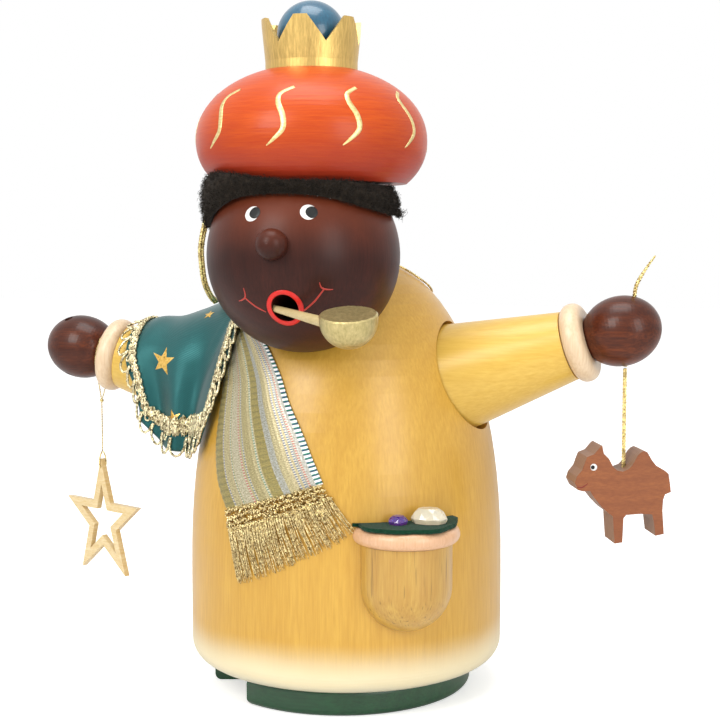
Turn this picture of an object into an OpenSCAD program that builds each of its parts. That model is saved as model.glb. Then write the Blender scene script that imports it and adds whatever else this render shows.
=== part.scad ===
// Turned wooden incense smoker in the form of a king.
// Millimetres, +Z up. The origin is the centre of the foot disc's underside.
// The figure faces -Y and its own left side is +X. Angles named _az turn from
// the front (-Y) towards the figure's left (+X).

/* [Foot base] */
// Radius of the round foot disc
base_r = 51.2; // [49:0.1:53]
// Thickness of the foot disc
base_h = 10.5; // [8:0.5:14]
// Radius of the foot disc's rounded edges
base_edge_r = 2.5; // [0.5:0.5:3]
// Width of the air slot milled into the foot disc
slot_w = 30.5; // [24:0.5:36]
// Distance of the slot's round end from the middle of the disc, along the slot
slot_end = 10; // [4:1:20]
// Distance of the slot's centre line from the middle of the disc
slot_side = 21.2; // [18:0.2:24]
// Direction in which the air slot opens
slot_az = -72; // [-90:1:90]
// Height of the plug that centres the figure on the foot disc
plug_h = 10; // [8:1:16]
// Radial running clearance of the plug in the figure's bore
plug_gap = 0.08; // [0.04:0.01:0.1]
// Diameter of each air hole through the plug
air_hole_d = 7; // [5:0.5:9]
// Distance of the air holes from the axis
air_hole_ring_r = 27; // [25:1:31]

/* [Ember tray] */
// Radius of the sheet metal tray's floor
tray_r = 15; // [12:1:18]
// Height of the tray's rim
tray_rim_h = 3; // [2:0.5:6]
// Thickness of the tray's sheet
tray_t = 0.6; // [0.4:0.1:1]
// Diameter of the nail that holds the tray
nail_d = 1.6; // [1.2:0.1:2.4]
// Length of the nail's shank
nail_len = 8; // [6:1:9]

/* [Body shell] */
// Largest outer radius of the body
body_r = 61.7; // [58:0.1:65]
// Height of the body's top above the floor
body_top_z = 170; // [162:1:176]
// Height at which the straight belly starts to draw in
belly_z = 45; // [38:1:52]
// Radius of the rounded bottom edge
body_edge_r = 8; // [6:0.5:14]
// Fullness of the shoulders, where 2 is an ellipse
body_fullness = 2.3; // [2:0.05:2.6]
// Radius of the smoke chamber's bore
bore_r = 40; // [36:0.5:42]
// Height at which the chamber starts to draw in
chamber_cone_z = 75; // [60:1:85]
// Radius of the chamber's narrow upper bore
flue_r = 13; // [10:0.5:14]
// Height at which the upper bore starts
flue_z = 132; // [125:1:138]
// Height at which the upper bore ends
flue_top_z = 160; // [158:0.5:161]

/* [Head] */
// Radius of the head ball
head_r = 35; // [33:0.5:37]
// Distance of the head's centre in front of the body's axis
head_fwd = 48.6; // [46:0.2:51]
// Height of the head's centre
head_z = 170; // [168:0.5:173]
// Direction in which the face looks
face_az = 3; // [-6:1:6]
// Diameter of the nose ball
nose_d = 11; // [9:0.5:13]
// Height of the nose above the head's centre
nose_up = 4; // [0:0.5:8]
// Diameter of the round mouth hole
mouth_d = 9.4; // [8:0.2:11]
// Distance of the mouth below the head's centre
mouth_down = 17.5; // [15:0.5:19]

/* [Pipe] */
// Diameter of the stem where it enters the bowl
stem_d = 3.9; // [3:0.1:5]
// Diameter of the stem's thin end in the mouth
stem_thin_d = 2.4; // [2:0.1:3.6]
// Length of the stem from the mouth to the bowl's axis
stem_len = 37.5; // [32:0.5:42]
// Direction in which the pipe points
pipe_az = 61; // [45:1:65]
// Angle by which the pipe droops
pipe_droop = 8.2; // [4:0.2:14]
// Angle by which the pipe leans over to the front
pipe_roll = 11; // [0:1:16]
// Diameter of the pipe bowl
bowl_d = 19.4; // [16:0.2:22]
// Height of the pipe bowl
bowl_h = 11.7; // [10:0.1:14]
// Height of the bowl's top above the stem's axis
bowl_up = 5.3; // [4:0.1:6]
// Length of the stem's peg behind the lips
peg_len = 9; // [7:0.5:10]
// Depth by which the stem enters the bowl
stem_in = 2; // [1:0.5:3]

/* [Turban] */
// Radius of the turban at its widest
turban_r = 42.2; // [40:0.2:45]
// Height of the turban's widest place
turban_z = 211.5; // [208:0.5:215]
// Height of the turban's upper half
turban_up = 27.5; // [27.2:0.1:30]
// Height that the turban's lower half would have without its flat
turban_down = 25; // [22:0.5:28]
// Height of the flat where the turban sits on the head
turban_seat_z = 196; // [194:0.5:198]
// Height of the flat that carries the crown
crown_seat_z = 236.8; // [235.8:0.1:237.2]
// Distance of the turban's axis in front of the body's axis
turban_fwd = 39.5; // [38:0.5:44]

/* [Crown] */
// Outer radius of the crown at its foot
crown_r = 16.8; // [15:0.2:17.4]
// Amount by which the crown flares out to its points
crown_flare = 1.5; // [0:0.1:3]
// Height of the crown
crown_h = 18; // [15:0.5:21]
// Wall thickness of the crown
crown_wall = 1.7; // [1.2:0.1:2.4]
// Height at which the notches start
crown_notch_z = 8.8; // [6:0.2:11]
// Width of each flat top
crown_tip_w = 5.2; // [3:0.2:7]
// Number of points
crown_points = 6; // [5:1:8]
// Direction of the front point
crown_az = 7; // [-30:1:30]
// Radius of the ball inside the crown
ball_r = 12.6; // [11:0.1:13.5]

/* [Arms] */
// Height of the left arm's seat on the body
seat_z_left = 122; // [118:0.5:126]
// Height of the right arm's seat on the body
seat_z_right = 117.5; // [114:0.5:122]
// Distance of the left arm's seat from the body's axis
seat_s_left = 45; // [43:0.2:47]
// Distance of the right arm's seat from the body's axis
seat_s_right = 47.8; // [43:0.2:48.4]
// Radius of a sleeve's thick end
sleeve_r1 = 21.5; // [20:0.5:23]
// Radius of a sleeve's thin end
sleeve_r2 = 13; // [12:0.5:14]
// Length of a sleeve
sleeve_len = 49; // [46:0.5:52]
// Radius of the rounded edge at a sleeve's thick end
sleeve_edge_r = 3; // [1:0.5:5]
// Angle at which the left arm rises
rise_left = 17; // [12:0.5:20]
// Angle at which the right arm rises
rise_right = 11.4; // [4:0.2:14]
// Angle by which both arms point forward
arms_fwd = 3; // [0:0.5:8]
// Outer radius of a cuff ring
cuff_r = 15; // [14:0.25:16]
// Thickness of a cuff ring
cuff_w = 8; // [6:0.5:10]
// Length of a hand along the arm
hand_len = 29.8; // [26:0.2:33]
// Diameter of a hand
hand_d = 26; // [23:0.5:28]
// Depth by which the left hand dips into its cuff ring
dip_left = 2.9; // [2:0.1:4]
// Depth by which the right hand dips into its cuff ring
dip_right = 3.2; // [2:0.1:5]
// Diameter of the hole in the right hand
hand_hole_d = 3.4; // [2.8:0.1:4]
// Distance of the right hand's hole beyond the hand's centre
hand_hole_out = 4; // [2:0.5:7]
// Distance of the right hand's hole in front of the hand's centre
hand_hole_fwd = 4.5; // [0:0.5:6]

/* [Dowels] */
// Diameter of the dowels in the arms, neck and turban
dowel_d = 7; // [5:0.5:8]
// Length of those dowels
dowel_len = 20; // [14:1:22]
// Diameter of the dowels in the wrists
wrist_d = 6; // [4:0.5:7]
// Radial gap that the glue fills round a dowel
glue_gap = 0.1; // [0.05:0.01:0.15]

/* [Pocket] */
// Direction of the pocket from the front
pocket_az = 39.3; // [32:0.1:44]
// Radius of the pocket's pouch
pouch_r = 17; // [15:0.2:18]
// Height of the pouch's top edge
pouch_top_z = 67.1; // [60:0.1:70]
// Length of the straight part above the round bottom
pouch_straight = 15.6; // [8:0.2:18]
// Radius of the pocket's rim
pocket_rim_r = 19.7; // [18:0.1:21]
// Height of the pocket's rim
pocket_rim_h = 6.2; // [4:0.2:8]
// Thickness of the felt that lines the pocket
felt_t = 1.4; // [0.8:0.1:2]

/* [Ornaments] */
// Distance from the star's centre to its tips
star_r = 26.4; // [22:0.2:30]
// Width of the star's frame
star_frame_w = 3.4; // [2.5:0.1:4.5]
// Thickness of the star
star_t = 2.2; // [1.5:0.1:3]
// Thickness of the camel
camel_t = 13; // [8:0.5:14]
// Height of the camel from its feet to its forelock
camel_h = 36.5; // [34:0.5:40]

/* [Cloth] */
// Thickness of the cape's cloth
cape_t = 0.8; // [0.6:0.1:1]
// Depth of the cape's folds
cape_fold = 1.6; // [0.5:0.1:2.4]
// Thickness of the scarf's cloth
scarf_t = 0.8; // [0.6:0.1:1]
// Free distance between cloth and what carries it
cloth_gap = 0.35; // [0.3:0.05:0.5]
// Number of threads in the fringe
fringe_strands = 70; // [50:1:90]

/* [Hidden] */
fn_big = 96;
fn_small = 32;
cut = 1;                    // overshoot of a cutting solid past a face
foot_shift = [-1.6, -0.5, 0];   // the foot disc sits this far off the figure's axis

wood_yellow = "#E2B13C";
wood_brown = "#4A2114";
wood_pale = "#E3CFA8";
wood_green = "#12391F";
gold = "#B89A4E";

// Body profile: radius at a height, and height at a radius, of the outer surface
function full(t) = pow(1 - pow(t, body_fullness), 1 / body_fullness);
function body_rad(z) = z <= belly_z ? body_r :
    z >= body_top_z ? 0 : body_r * full((z - belly_z) / (body_top_z - belly_z));
function body_height(r) = r >= body_r ? belly_z :
    belly_z + (body_top_z - belly_z) * full(max(r, 0) / body_r);
function on_body(az, z, off = 0) =
    let (r = body_rad(z) + off) [r * sin(az), -r * cos(az), z];

// Head and face
head_c = [0, -head_fwd, head_z];
dome_c_z = body_top_z - body_r * 0.86;           // centre of the sphere that the dome resembles
dome_r = body_top_z - dome_c_z;
neck_d = norm([head_fwd, head_z - dome_c_z]);
neck_tilt = atan2(head_fwd, head_z - dome_c_z);  // lean of the neck's axis from vertical
neck_cut = neck_d - (neck_d * neck_d + dome_r * dome_r - head_r * head_r) / (2 * neck_d);
neck_seat_r = sqrt(head_r * head_r - neck_cut * neck_cut);
neck_dowel_x = 14;
mouth_z = head_z - mouth_down;

// Turban: radius at a height, and height of its lower half at a radius
function turban_rad(z) = z > turban_z
    ? turban_r * pow(1 - pow(min(1, (z - turban_z) / turban_up), 2.05), 1 / 2.05)
    : turban_r * pow(1 - pow(min(1, (turban_z - z) / turban_down), 2.2), 1 / 2.2);
function turban_low(r) = turban_z - turban_down * pow(1 - pow(min(1, r / turban_r), 2.2), 1 / 2.2);

// Arms: points on an arm's axis, s millimetres from the body's axis
function arm_dir(side, rise) =
    [side * cos(rise) * cos(arms_fwd), -cos(rise) * sin(arms_fwd), sin(rise)];
function arm_rise(side) = side > 0 ? rise_left : rise_right;
function seat_z(side) = side > 0 ? seat_z_left : seat_z_right;
function seat_s(side) = side > 0 ? seat_s_left : seat_s_right;
function hand_dip(side) = side > 0 ? dip_left : dip_right;
function arm_root_z(side) = seat_z(side) - seat_s(side) * sin(arm_rise(side));
function arm_point(side, s) = [0, 0, arm_root_z(side)] + s * arm_dir(side, arm_rise(side));
function cuff_s(side) = seat_s(side) + sleeve_len;
function hand_s(side) = cuff_s(side) + cuff_w - hand_dip(side) + hand_len / 2;
// Radius of a hand, q millimetres from its end along the arm
function hand_rad(q) = hand_d / 2 * sqrt(1 - pow(1 - 2 * q / hand_len, 2));
function sleeve_rad(s, side) = sleeve_r1 + (sleeve_r2 - sleeve_r1) * (s - seat_s(side)) / sleeve_len;
wrist_len = cuff_w + 15;
arm_seat_gap = 0.4;                // free ring round a sleeve in its seat

// Pocket
pocket_out = body_r - 1.5;                       // distance of the pouch's axis from the body's axis
rim_z = pouch_top_z + 0.1;                       // a glue line above the pouch
felt_z = rim_z + pocket_rim_h + 0.1;

// Cords: hand-chosen routes
cord_sides = 8;
cord_d = 1.6;
thread_d = 0.6;
thread_out = 1.1;                  // distance of the wrist loop from the cuff's face
tie_d = 0.8;
ear_cord_d = 2.4;
camel_hole_d = 2.2;
camel_x = 110.5;
camel_y = -6;
camel_low_z = 64.2;                // lowest point of the camel's feet
saddle_z = 91.8;                   // where the cord enters the camel
hand_hole_z = 129;                 // where the cord enters the left hand from below
camel_az = 24.3;
star_x = -105.8;
star_y = -5.8;
star_tip_z = 84.3;
star_az = -27;
star_tilt = 1.1;
knot_z = 109.3;                    // where the thread's loop closes below the wrist
eye_z = 87.2;                      // where the thread meets the star's small loop
star_hole_down = 3.6;              // distance of the star's hole below its top tip
EAR_ROUTE = [[-38, -45, 187], [-41.8, -42, 181], [-44.8, -39, 173], [-46.6, -34.5, 166.4],
    [-48.5, -28, 159.4], [-49.8, -20, 154], [-50.4, -13, 151]];
CAMEL_ROUTE = [[camel_x, camel_y, hand_hole_z - 0.6], [camel_x, camel_y, 122], [camel_x, camel_y, 115],
    [camel_x, camel_y, 108], [camel_x, camel_y, 100], [camel_x, camel_y, saddle_z - 3]];
TAIL_ROUTE = [[110.6, -6, 129.2], [111.8, -6, 140], [113.4, -6, 154], [114, -6, 158.5],
    [115.6, -6.1, 162], [118.4, -6.3, 166.5], [120.9, -6.5, 170]];
TIE_ROUTE = [[68, 17], [80, 20.5], [88, 24.5], [94, 28.5], [105, 32.5], [125, 35.5], [150, 36.5],
    [180, 36], [210, 35.5], [235, 35], [249, 34.6]];      // direction and distance from the axis

// ---------------------------------------------------------------- helpers

// Catmull-Rom point through p1 and p2
function cr(p0, p1, p2, p3, t) = 0.5 * (2 * p1 + (p2 - p0) * t
    + (2 * p0 - 5 * p1 + 4 * p2 - p3) * t * t + (3 * p1 - p0 - 3 * p2 + p3) * t * t * t);
// Smooth open curve through points, n steps a stretch
function smooth(p, n) = let (m = len(p) - 1) [
    for (i = [0 : m - 1], k = [0 : n - 1])
        cr(p[max(i - 1, 0)], p[i], p[i + 1], p[min(i + 2, m)], k / n),
    p[m]];
// Value of a smooth curve through evenly spaced values, t from 0 to 1
function along(v, t) = let (m = len(v) - 1, x = min(max(t, 0), 1) * m, i = min(floor(x), m - 1))
    cr(v[max(i - 1, 0)], v[i], v[i + 1], v[min(i + 2, m)], x - i);
function unit(v) = v / norm(v);

// Round tube swept along points; its end rings are square to the route
module tube(p, d, sides = cord_sides) {
    m = len(p);
    dirs = [for (i = [0 : m - 1]) unit(p[min(i + 1, m - 1)] - p[max(i - 1, 0)])];
    ref = abs(dirs[0][2]) > 0.9 ? [0, 1, 0] : [0, 0, 1];
    rings = [for (i = [0 : m - 1]) let (a = unit(cross(dirs[i], ref)), b = cross(dirs[i], a))
        for (k = [0 : sides - 1]) p[i] + d / 2 * (cos(k * 360 / sides) * a + sin(k * 360 / sides) * b)];
    faces = [for (i = [0 : m - 2], k = [0 : sides - 1]) let (a = i * sides + k,
            b = i * sides + (k + 1) % sides) each [[a, b + sides, b], [a, a + sides, b + sides]]];
    first = [for (k = [1 : sides - 2]) [0, k, k + 1]];
    last = let (q = (m - 1) * sides) [for (k = [1 : sides - 2]) [q, q + k + 1, q + k]];
    polyhedron(rings, concat(faces, first, last), convexity = 8);
}

// Closed sheet between two grids of points with nu by nv points each
module sheet(top, bottom, nu, nv) {
    n = nu * nv;
    function id(i, j) = i * nv + j;
    up = [for (i = [0 : nu - 2], j = [0 : nv - 2]) each [
        [id(i, j), id(i, j + 1), id(i + 1, j + 1)], [id(i, j), id(i + 1, j + 1), id(i + 1, j)]]];
    down = [for (f = up) [n + f[0], n + f[2], n + f[1]]];
    rim = concat([for (j = [0 : nv - 1]) id(0, j)], [for (i = [1 : nu - 1]) id(i, nv - 1)],
        [for (j = [nv - 2 : -1 : 0]) id(nu - 1, j)], [for (i = [nu - 2 : -1 : 1]) id(i, 0)]);
    m = len(rim);
    wall = [for (k = [0 : m - 1]) let (a = rim[k], b = rim[(k + 1) % m])
        each [[a, a + n, b + n], [a, b + n, b]]];
    polyhedron(concat(top, bottom), concat(up, down, wall), convexity = 10);
}

// Half outline of a disc whose two edges are rounded
module rounded_disc_outline(r, h, e) {
    translate([0, e]) square([r, h - 2 * e]);
    square([r - e, h]);
    for (z = [e, h - e]) translate([r - e, z]) circle(e, $fn = fn_small);
}

module arm_frame(side) {
    translate([0, 0, arm_root_z(side)])
        rotate([0, 0, side > 0 ? -arms_fwd : 180 + arms_fwd])
            rotate([0, 90 - arm_rise(side), 0]) children();
}

// Frame on the neck's axis: origin at the head's centre, +Z away from the body
module neck_frame() {
    translate(head_c) rotate([neck_tilt, 0, 0]) children();
}

// Frame of the pipe: origin inside the mouth, +X along the stem
module pipe_frame() {
    translate(head_c) rotate([0, 0, face_az]) translate([-1.2, -28.2, -mouth_down - 0.4])
        rotate([0, 0, pipe_az - face_az - 90]) rotate([0, pipe_droop, 0]) rotate([pipe_roll, 0, 0])
            children();
}

module dowel(d, len) {
    chamfer = d / 8;
    rotate_extrude($fn = fn_small) polygon([[0, -len / 2], [d / 2 - chamfer, -len / 2],
        [d / 2, -len / 2 + chamfer], [d / 2, len / 2 - chamfer], [d / 2 - chamfer, len / 2],
        [0, len / 2]]);
}

module dowel_hole(d, len) {
    cylinder(r = d / 2 + glue_gap, h = len + 0.6, center = true, $fn = fn_small);
}

// ---------------------------------------------------------------- foot

module foot_base() {
    color(wood_green) difference() {
        translate(foot_shift)
            rotate_extrude($fn = fn_big) rounded_disc_outline(base_r, base_h, base_edge_r);
        rotate([0, 0, slot_az]) translate([slot_side, 0, -cut]) {
            translate([-slot_w / 2, -base_r - 4, 0])
                cube([slot_w, base_r + 4 - slot_end - slot_w / 2, base_h + 2 * cut]);
            translate([0, -slot_end - slot_w / 2, 0])
                cylinder(r = slot_w / 2, h = base_h + 2 * cut, $fn = fn_big);
        }
    }
}

module base_plug() {
    r = bore_r - plug_gap;
    color(wood_pale) difference() {
        translate([0, 0, base_h]) rotate_extrude($fn = fn_big)
            polygon([[0, 0], [r, 0], [r, plug_h - 1.5], [r - 1.5, plug_h], [0, plug_h]]);
        for (a = [24, 46]) rotate([0, 0, slot_az + a])
            translate([0, -air_hole_ring_r, base_h - cut])
                cylinder(d = air_hole_d, h = plug_h + 2 * cut, $fn = fn_small);
        translate([0, 0, base_h + plug_h - nail_len])
            cylinder(d = nail_d + 0.1, h = nail_len + cut, $fn = fn_small);
    }
}

module ember_tray() {
    z0 = base_h + plug_h;
    color("#B9B2A0") translate([0, 0, z0]) rotate_extrude($fn = fn_big)
        polygon([[nail_d / 2 + 0.1, 0], [tray_r, 0], [tray_r + 1, tray_rim_h - tray_t],
            [tray_r + 3, tray_rim_h - tray_t], [tray_r + 3, tray_rim_h],
            [tray_r + 0.5, tray_rim_h], [tray_r - tray_t / 2, tray_t], [nail_d / 2 + 0.1, tray_t]]);
}

module tray_nail() {
    floor_z = base_h + plug_h + tray_t;
    color("#8C8C8C") translate([0, 0, floor_z]) rotate_extrude($fn = fn_small)
        polygon([[0, -nail_len + tray_t + 0.4], [nail_d / 2, -nail_len + tray_t + 1.6], [nail_d / 2, 0],
            [nail_d * 1.1, 0], [nail_d * 1.0, 0.4], [nail_d * 0.6, 0.7], [0, 0.8]]);
}

// ---------------------------------------------------------------- body

body_outline = let (e = body_edge_r, z0 = base_h) concat([[0, z0]],
    [for (a = [0 : 9 : 90]) [body_r - e + e * sin(a), z0 + e - e * cos(a)]],
    [for (a = [0 : 3.75 : 86.25]) let (c = pow(cos(a), 2 / body_fullness),
            s = pow(sin(a), 2 / body_fullness))
        [body_r * c, belly_z + (body_top_z - belly_z) * s]],
    [[0, body_top_z]]);

module arm_cut(side) {
    arm_frame(side) translate([0, 0, seat_s(side)])
        cylinder(r = sleeve_r1 + arm_seat_gap, h = 30, $fn = fn_big);
}

module body_shell() {
    color(wood_yellow) difference() {
        rotate_extrude($fn = fn_big) polygon(body_outline);
        translate([0, 0, base_h - cut])
            cylinder(r = bore_r, h = chamber_cone_z - base_h + cut, $fn = fn_big);
        translate([0, 0, chamber_cone_z])
            cylinder(r1 = bore_r, r2 = flue_r, h = flue_z - chamber_cone_z, $fn = fn_big);
        translate([0, 0, flue_z]) cylinder(r = flue_r, h = flue_top_z - flue_z, $fn = fn_big);
        neck_frame() translate([0, 0, -neck_cut]) cylinder(r = neck_seat_r + 1, h = 60, $fn = fn_big);
        neck_dowel_holes();
        mouth_bore();
        for (side = [-1, 1]) {
            arm_cut(side);
            arm_frame(side) translate([0, 0, seat_s(side)]) dowel_hole(dowel_d, dowel_len);
        }
    }
}

// The smoke's way: straight back from the lips into the chamber's upper bore
module mouth_bore() {
    translate([0, 0, mouth_z]) rotate([0, 0, face_az]) rotate([90, 0, 0])
        cylinder(d = mouth_d, h = head_fwd + head_r, $fn = fn_small * 2);
}

module neck_dowel_holes() {
    neck_frame() for (x = [-1, 1]) translate([x * neck_dowel_x, 0, -neck_cut])
        dowel_hole(dowel_d, dowel_len);
}

module neck_dowels() {
    color(wood_pale) neck_frame() for (x = [-1, 1])
        translate([x * neck_dowel_x, 0, -neck_cut]) dowel(dowel_d, dowel_len);
}

// ---------------------------------------------------------------- head

module head() {
    seat_h = 2 * head_r;
    color(wood_brown) difference() {
        translate(head_c) sphere(r = head_r, $fn = fn_big);
        neck_frame() translate([-head_r - cut, -head_r - cut, -neck_cut - seat_h])
            cube([seat_h + 2 * cut, seat_h + 2 * cut, seat_h]);
        translate([-head_r - cut, -head_fwd - head_r - cut, turban_seat_z])
            cube([seat_h + 2 * cut, seat_h + 2 * cut, head_r]);
        mouth_bore();
        neck_dowel_holes();
        translate([0, -turban_fwd - 4, turban_seat_z]) dowel_hole(dowel_d, dowel_len);
        nose_frame() cylinder(d = nose_d / 3 + 2 * glue_gap, h = nose_d, center = true, $fn = fn_small);
        pipe_frame() rotate([0, 90, 0])
            translate([0, 0, -peg_len - 1])
                cylinder(d = stem_thin_d + 2 * glue_gap, h = peg_len + 1, $fn = fn_small);
    }
}

module nose_frame() {
    translate(head_c) rotate([0, 0, face_az])
        rotate([90 - asin(nose_up / head_r), 0, 0]) translate([0, 0, head_r]) children();
}

module nose() {
    color(wood_brown) {
        difference() {
            nose_frame() translate([0, 0, 1.6]) sphere(d = nose_d, $fn = fn_small * 2);
            translate(head_c) sphere(r = head_r + 0.06, $fn = fn_big);
        }
        nose_frame() translate([0, 0, -nose_d * 0.45])
            cylinder(d = nose_d / 3, h = nose_d * 0.6, $fn = fn_small);
    }
}

module pipe_stem() {
    color(wood_pale) pipe_frame() rotate([0, 90, 0]) {
        translate([0, 0, -peg_len]) cylinder(d = stem_thin_d, h = peg_len, $fn = fn_small);
        cylinder(d1 = stem_thin_d, d2 = stem_d, h = stem_len - bowl_d / 2 + stem_in, $fn = fn_small);
    }
}

module pipe_bowl() {
    r = bowl_d / 2;
    wall = 2;              // straight part of the bowl's side
    color(gold) pipe_frame() difference() {
        translate([stem_len, 0, bowl_up]) rotate_extrude($fn = fn_big)
            polygon(concat([[0, 0], [r - 0.5, 0], [r, -0.5]],
                [for (a = [0 : 7.5 : 90]) [r * cos(a), -wall - (bowl_h - wall) * sin(a)]]));
        rotate([0, 90, 0]) translate([0, 0, stem_len - r - cut])
            cylinder(d = stem_d + 2 * glue_gap, h = stem_in + cut + 0.2, $fn = fn_small);
    }
}

// ---------------------------------------------------------------- headdress

turban_outline = concat(
    [[0, turban_seat_z]],
    [for (k = [0 : 14]) let (z = turban_seat_z + (turban_z - turban_seat_z) * sin(k * 6))
        [turban_rad(z), z]],
    [for (k = [0 : 20]) let (z = turban_z + (crown_seat_z - turban_z) * sin(k * 4.5))
        [turban_rad(z), z]],
    [[0, crown_seat_z]]);

module turban() {
    color("#C2451E") difference() {
        translate([0, -turban_fwd, 0]) rotate_extrude($fn = fn_big) polygon(turban_outline);
        translate([0, -turban_fwd - 4, turban_seat_z]) dowel_hole(dowel_d, dowel_len);
    }
}

module turban_dowel() {
    color(wood_pale) translate([0, -turban_fwd - 4, turban_seat_z]) dowel(dowel_d, dowel_len);
}

module crown() {
    step = 360 / crown_points;
    r_top = crown_r + crown_flare;
    notch_w = 2 * PI * r_top / crown_points - crown_tip_w;
    cutter_h = crown_h + cut - crown_notch_z;
    cutter_w = notch_w * cutter_h / (crown_h - crown_notch_z);
    color(gold) translate([0, -turban_fwd, crown_seat_z]) difference() {
        rotate([0, 0, crown_az - 90]) rotate_extrude($fn = fn_big)
            polygon([[crown_r - crown_wall, 0], [crown_r, 0], [crown_r, 3], [r_top, crown_h],
                [r_top - crown_wall, crown_h], [crown_r - crown_wall, 3]]);
        for (k = [0 : crown_points - 1]) rotate([0, 0, crown_az + step * (k + 0.5)])
            rotate([90, 0, 0]) translate([0, 0, crown_r / 2]) linear_extrude(r_top)
                polygon([[0, crown_notch_z], [cutter_w / 2, crown_notch_z + cutter_h],
                    [-cutter_w / 2, crown_notch_z + cutter_h]]);
    }
}

module crown_ball() {
    color("#1F5F78") translate([0, -turban_fwd, crown_seat_z + ball_r + 0.05])
        sphere(r = ball_r, $fn = fn_big);
}

// Strip of plush round the head under the turban; a turns from the front to the left
function hair_low(a) = 191.5 - 7 * pow(abs(sin(a)), 3) - 3 * pow(max(-sin(a), 0), 3)
    - 4 * max(-cos(a), 0);
function hair_out(a) = 38.6 - 2.6 * sin(a) - 5.6 * pow(max(cos(a), 0), 3);
function head_rad(z) = sqrt(head_r * head_r - pow(z - head_z, 2)) + 0.4;
hair_gap = 0.8;                    // free distance of the plush from the turban
hair_back = 0.6;                   // keeps the straight facets clear of the turban's curve
// Underside of the turban above a point of the hair, q from the head's axis in direction a
function hair_top(a, q) = max(turban_seat_z, turban_low(min(turban_r - 1.6,
    norm([q * sin(a), head_fwd - turban_fwd + q * cos(a)]) - hair_back))) - hair_gap;
function hair_ring(a) = let (z0 = hair_low(a), r = hair_out(a), z1 = turban_seat_z - hair_gap,
        top_r = head_rad(z1), step = (r - 3.5 - top_r) / 3,
        ring = function(q, z) [q * sin(a), -q * cos(a) - head_fwd, z])
    [ring(head_rad(z0 + 1), z0 + 1), ring(head_rad(z0) + 1.8, z0), ring(r - 0.8, z0 + 2),
        ring(r, (z0 + hair_top(a, r)) / 2), ring(r - 0.2, hair_top(a, r) - 0.5),
        ring(r - 1, hair_top(a, r - 1)),
        for (k = [0 : 2]) let (q = r - 3.5 - k * step) ring(q, hair_top(a, q)),
        ring(top_r + 0.2, z1 - 0.1), ring(head_rad((z0 + z1) / 2), (z0 + z1) / 2)];

module hair() {
    n = 60;
    m = 11;
    pts = [for (i = [0 : n - 1]) each hair_ring(i * 360 / n)];
    faces = [for (i = [0 : n - 1], k = [0 : m - 1]) let (a = i * m + k, b = i * m + (k + 1) % m,
            c = ((i + 1) % n) * m + k, d = ((i + 1) % n) * m + (k + 1) % m)
        each [[a, b, d], [a, d, c]]];
    color("#2A211B") polyhedron(pts, faces, convexity = 6);
}

// ---------------------------------------------------------------- arms

module sleeve(side) {
    e = sleeve_edge_r;
    color(wood_yellow) arm_frame(side) translate([0, 0, seat_s(side)]) difference() {
        rotate_extrude($fn = fn_big) polygon(concat([[0, 0]],
            [for (a = [0 : 15 : 75]) [sleeve_r1 - e + e * sin(a), e - e * cos(a)]],
            [[sleeve_rad(seat_s(side) + e, side), e], [sleeve_r2, sleeve_len], [0, sleeve_len]]));
        dowel_hole(dowel_d, dowel_len);
        translate([0, 0, sleeve_len + cuff_w / 2]) dowel_hole(wrist_d, wrist_len);
    }
}

// Ring with a rounded edge and a dished face for the hand
module cuff(side) {
    e = cuff_w / 2 - 0.2;
    dish = hand_dip(side) + 0.1;
    dish_r = hand_rad(hand_dip(side)) + 0.5;
    color(wood_pale) arm_frame(side) translate([0, 0, cuff_s(side)]) difference() {
        rotate_extrude($fn = fn_big) rounded_disc_outline(cuff_r, cuff_w, e);
        translate([0, 0, -cut])
            cylinder(r = wrist_d / 2 + glue_gap, h = cuff_w + 2 * cut, $fn = fn_small);
        translate([0, 0, cuff_w - dish])
            cylinder(r1 = wrist_d / 2 + 1.2, r2 = dish_r, h = dish, $fn = fn_big);
        translate([0, 0, cuff_w - 0.001]) cylinder(r = dish_r, h = cut, $fn = fn_big);
    }
}

module wrist_dowel(side) {
    color(wood_pale) arm_frame(side) translate([0, 0, cuff_s(side) + cuff_w / 2])
        dowel(wrist_d, wrist_len);
}

// Egg-shaped hand with the socket for its wrist dowel
module hand(side) {
    difference() {
        arm_frame(side) translate([0, 0, hand_s(side)]) rotate_extrude($fn = fn_big)
            polygon([for (a = [0 : 5 : 180]) [hand_d / 2 * sin(a), -hand_len / 2 * cos(a)]]);
        arm_frame(side) translate([0, 0, cuff_s(side) + cuff_w / 2]) dowel_hole(wrist_d, wrist_len);
    }
}

// The left hand's hole follows the cord, which leans out as it goes up
module hand_left() {
    color(wood_brown) difference() {
        hand(1);
        translate([camel_x, camel_y, hand_hole_z]) rotate([0, 6.2, 0]) translate([0, 0, -5])
            cylinder(d = camel_hole_d, h = 1.6 * hand_d, $fn = fn_small);
    }
}

module hand_right() {
    c = arm_point(-1, hand_s(-1));
    color(wood_brown) difference() {
        hand(-1);
        translate([c[0] - hand_hole_out, c[1] - hand_hole_fwd, c[2] - hand_d])
            cylinder(d = hand_hole_d, h = 2 * hand_d, $fn = fn_small);
    }
}

module arm_dowel(side) {
    color(wood_pale) arm_frame(side) translate([0, 0, seat_s(side)]) dowel(dowel_d, dowel_len);
}

// ---------------------------------------------------------------- pocket

module pocket_frame() {
    rotate([0, 0, pocket_az]) translate([0, -pocket_out, 0]) children();
}

// Everything inside the body's outer surface, a glue line larger
module body_block(grow = 0.08) {
    top = belly_z + 42;
    rotate_extrude($fn = fn_big) polygon(concat([[0, base_h], [body_r + grow, base_h]],
        [for (z = [belly_z : 6 : top]) [body_rad(z) + grow, z]], [[0, top]]));
}

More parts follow.
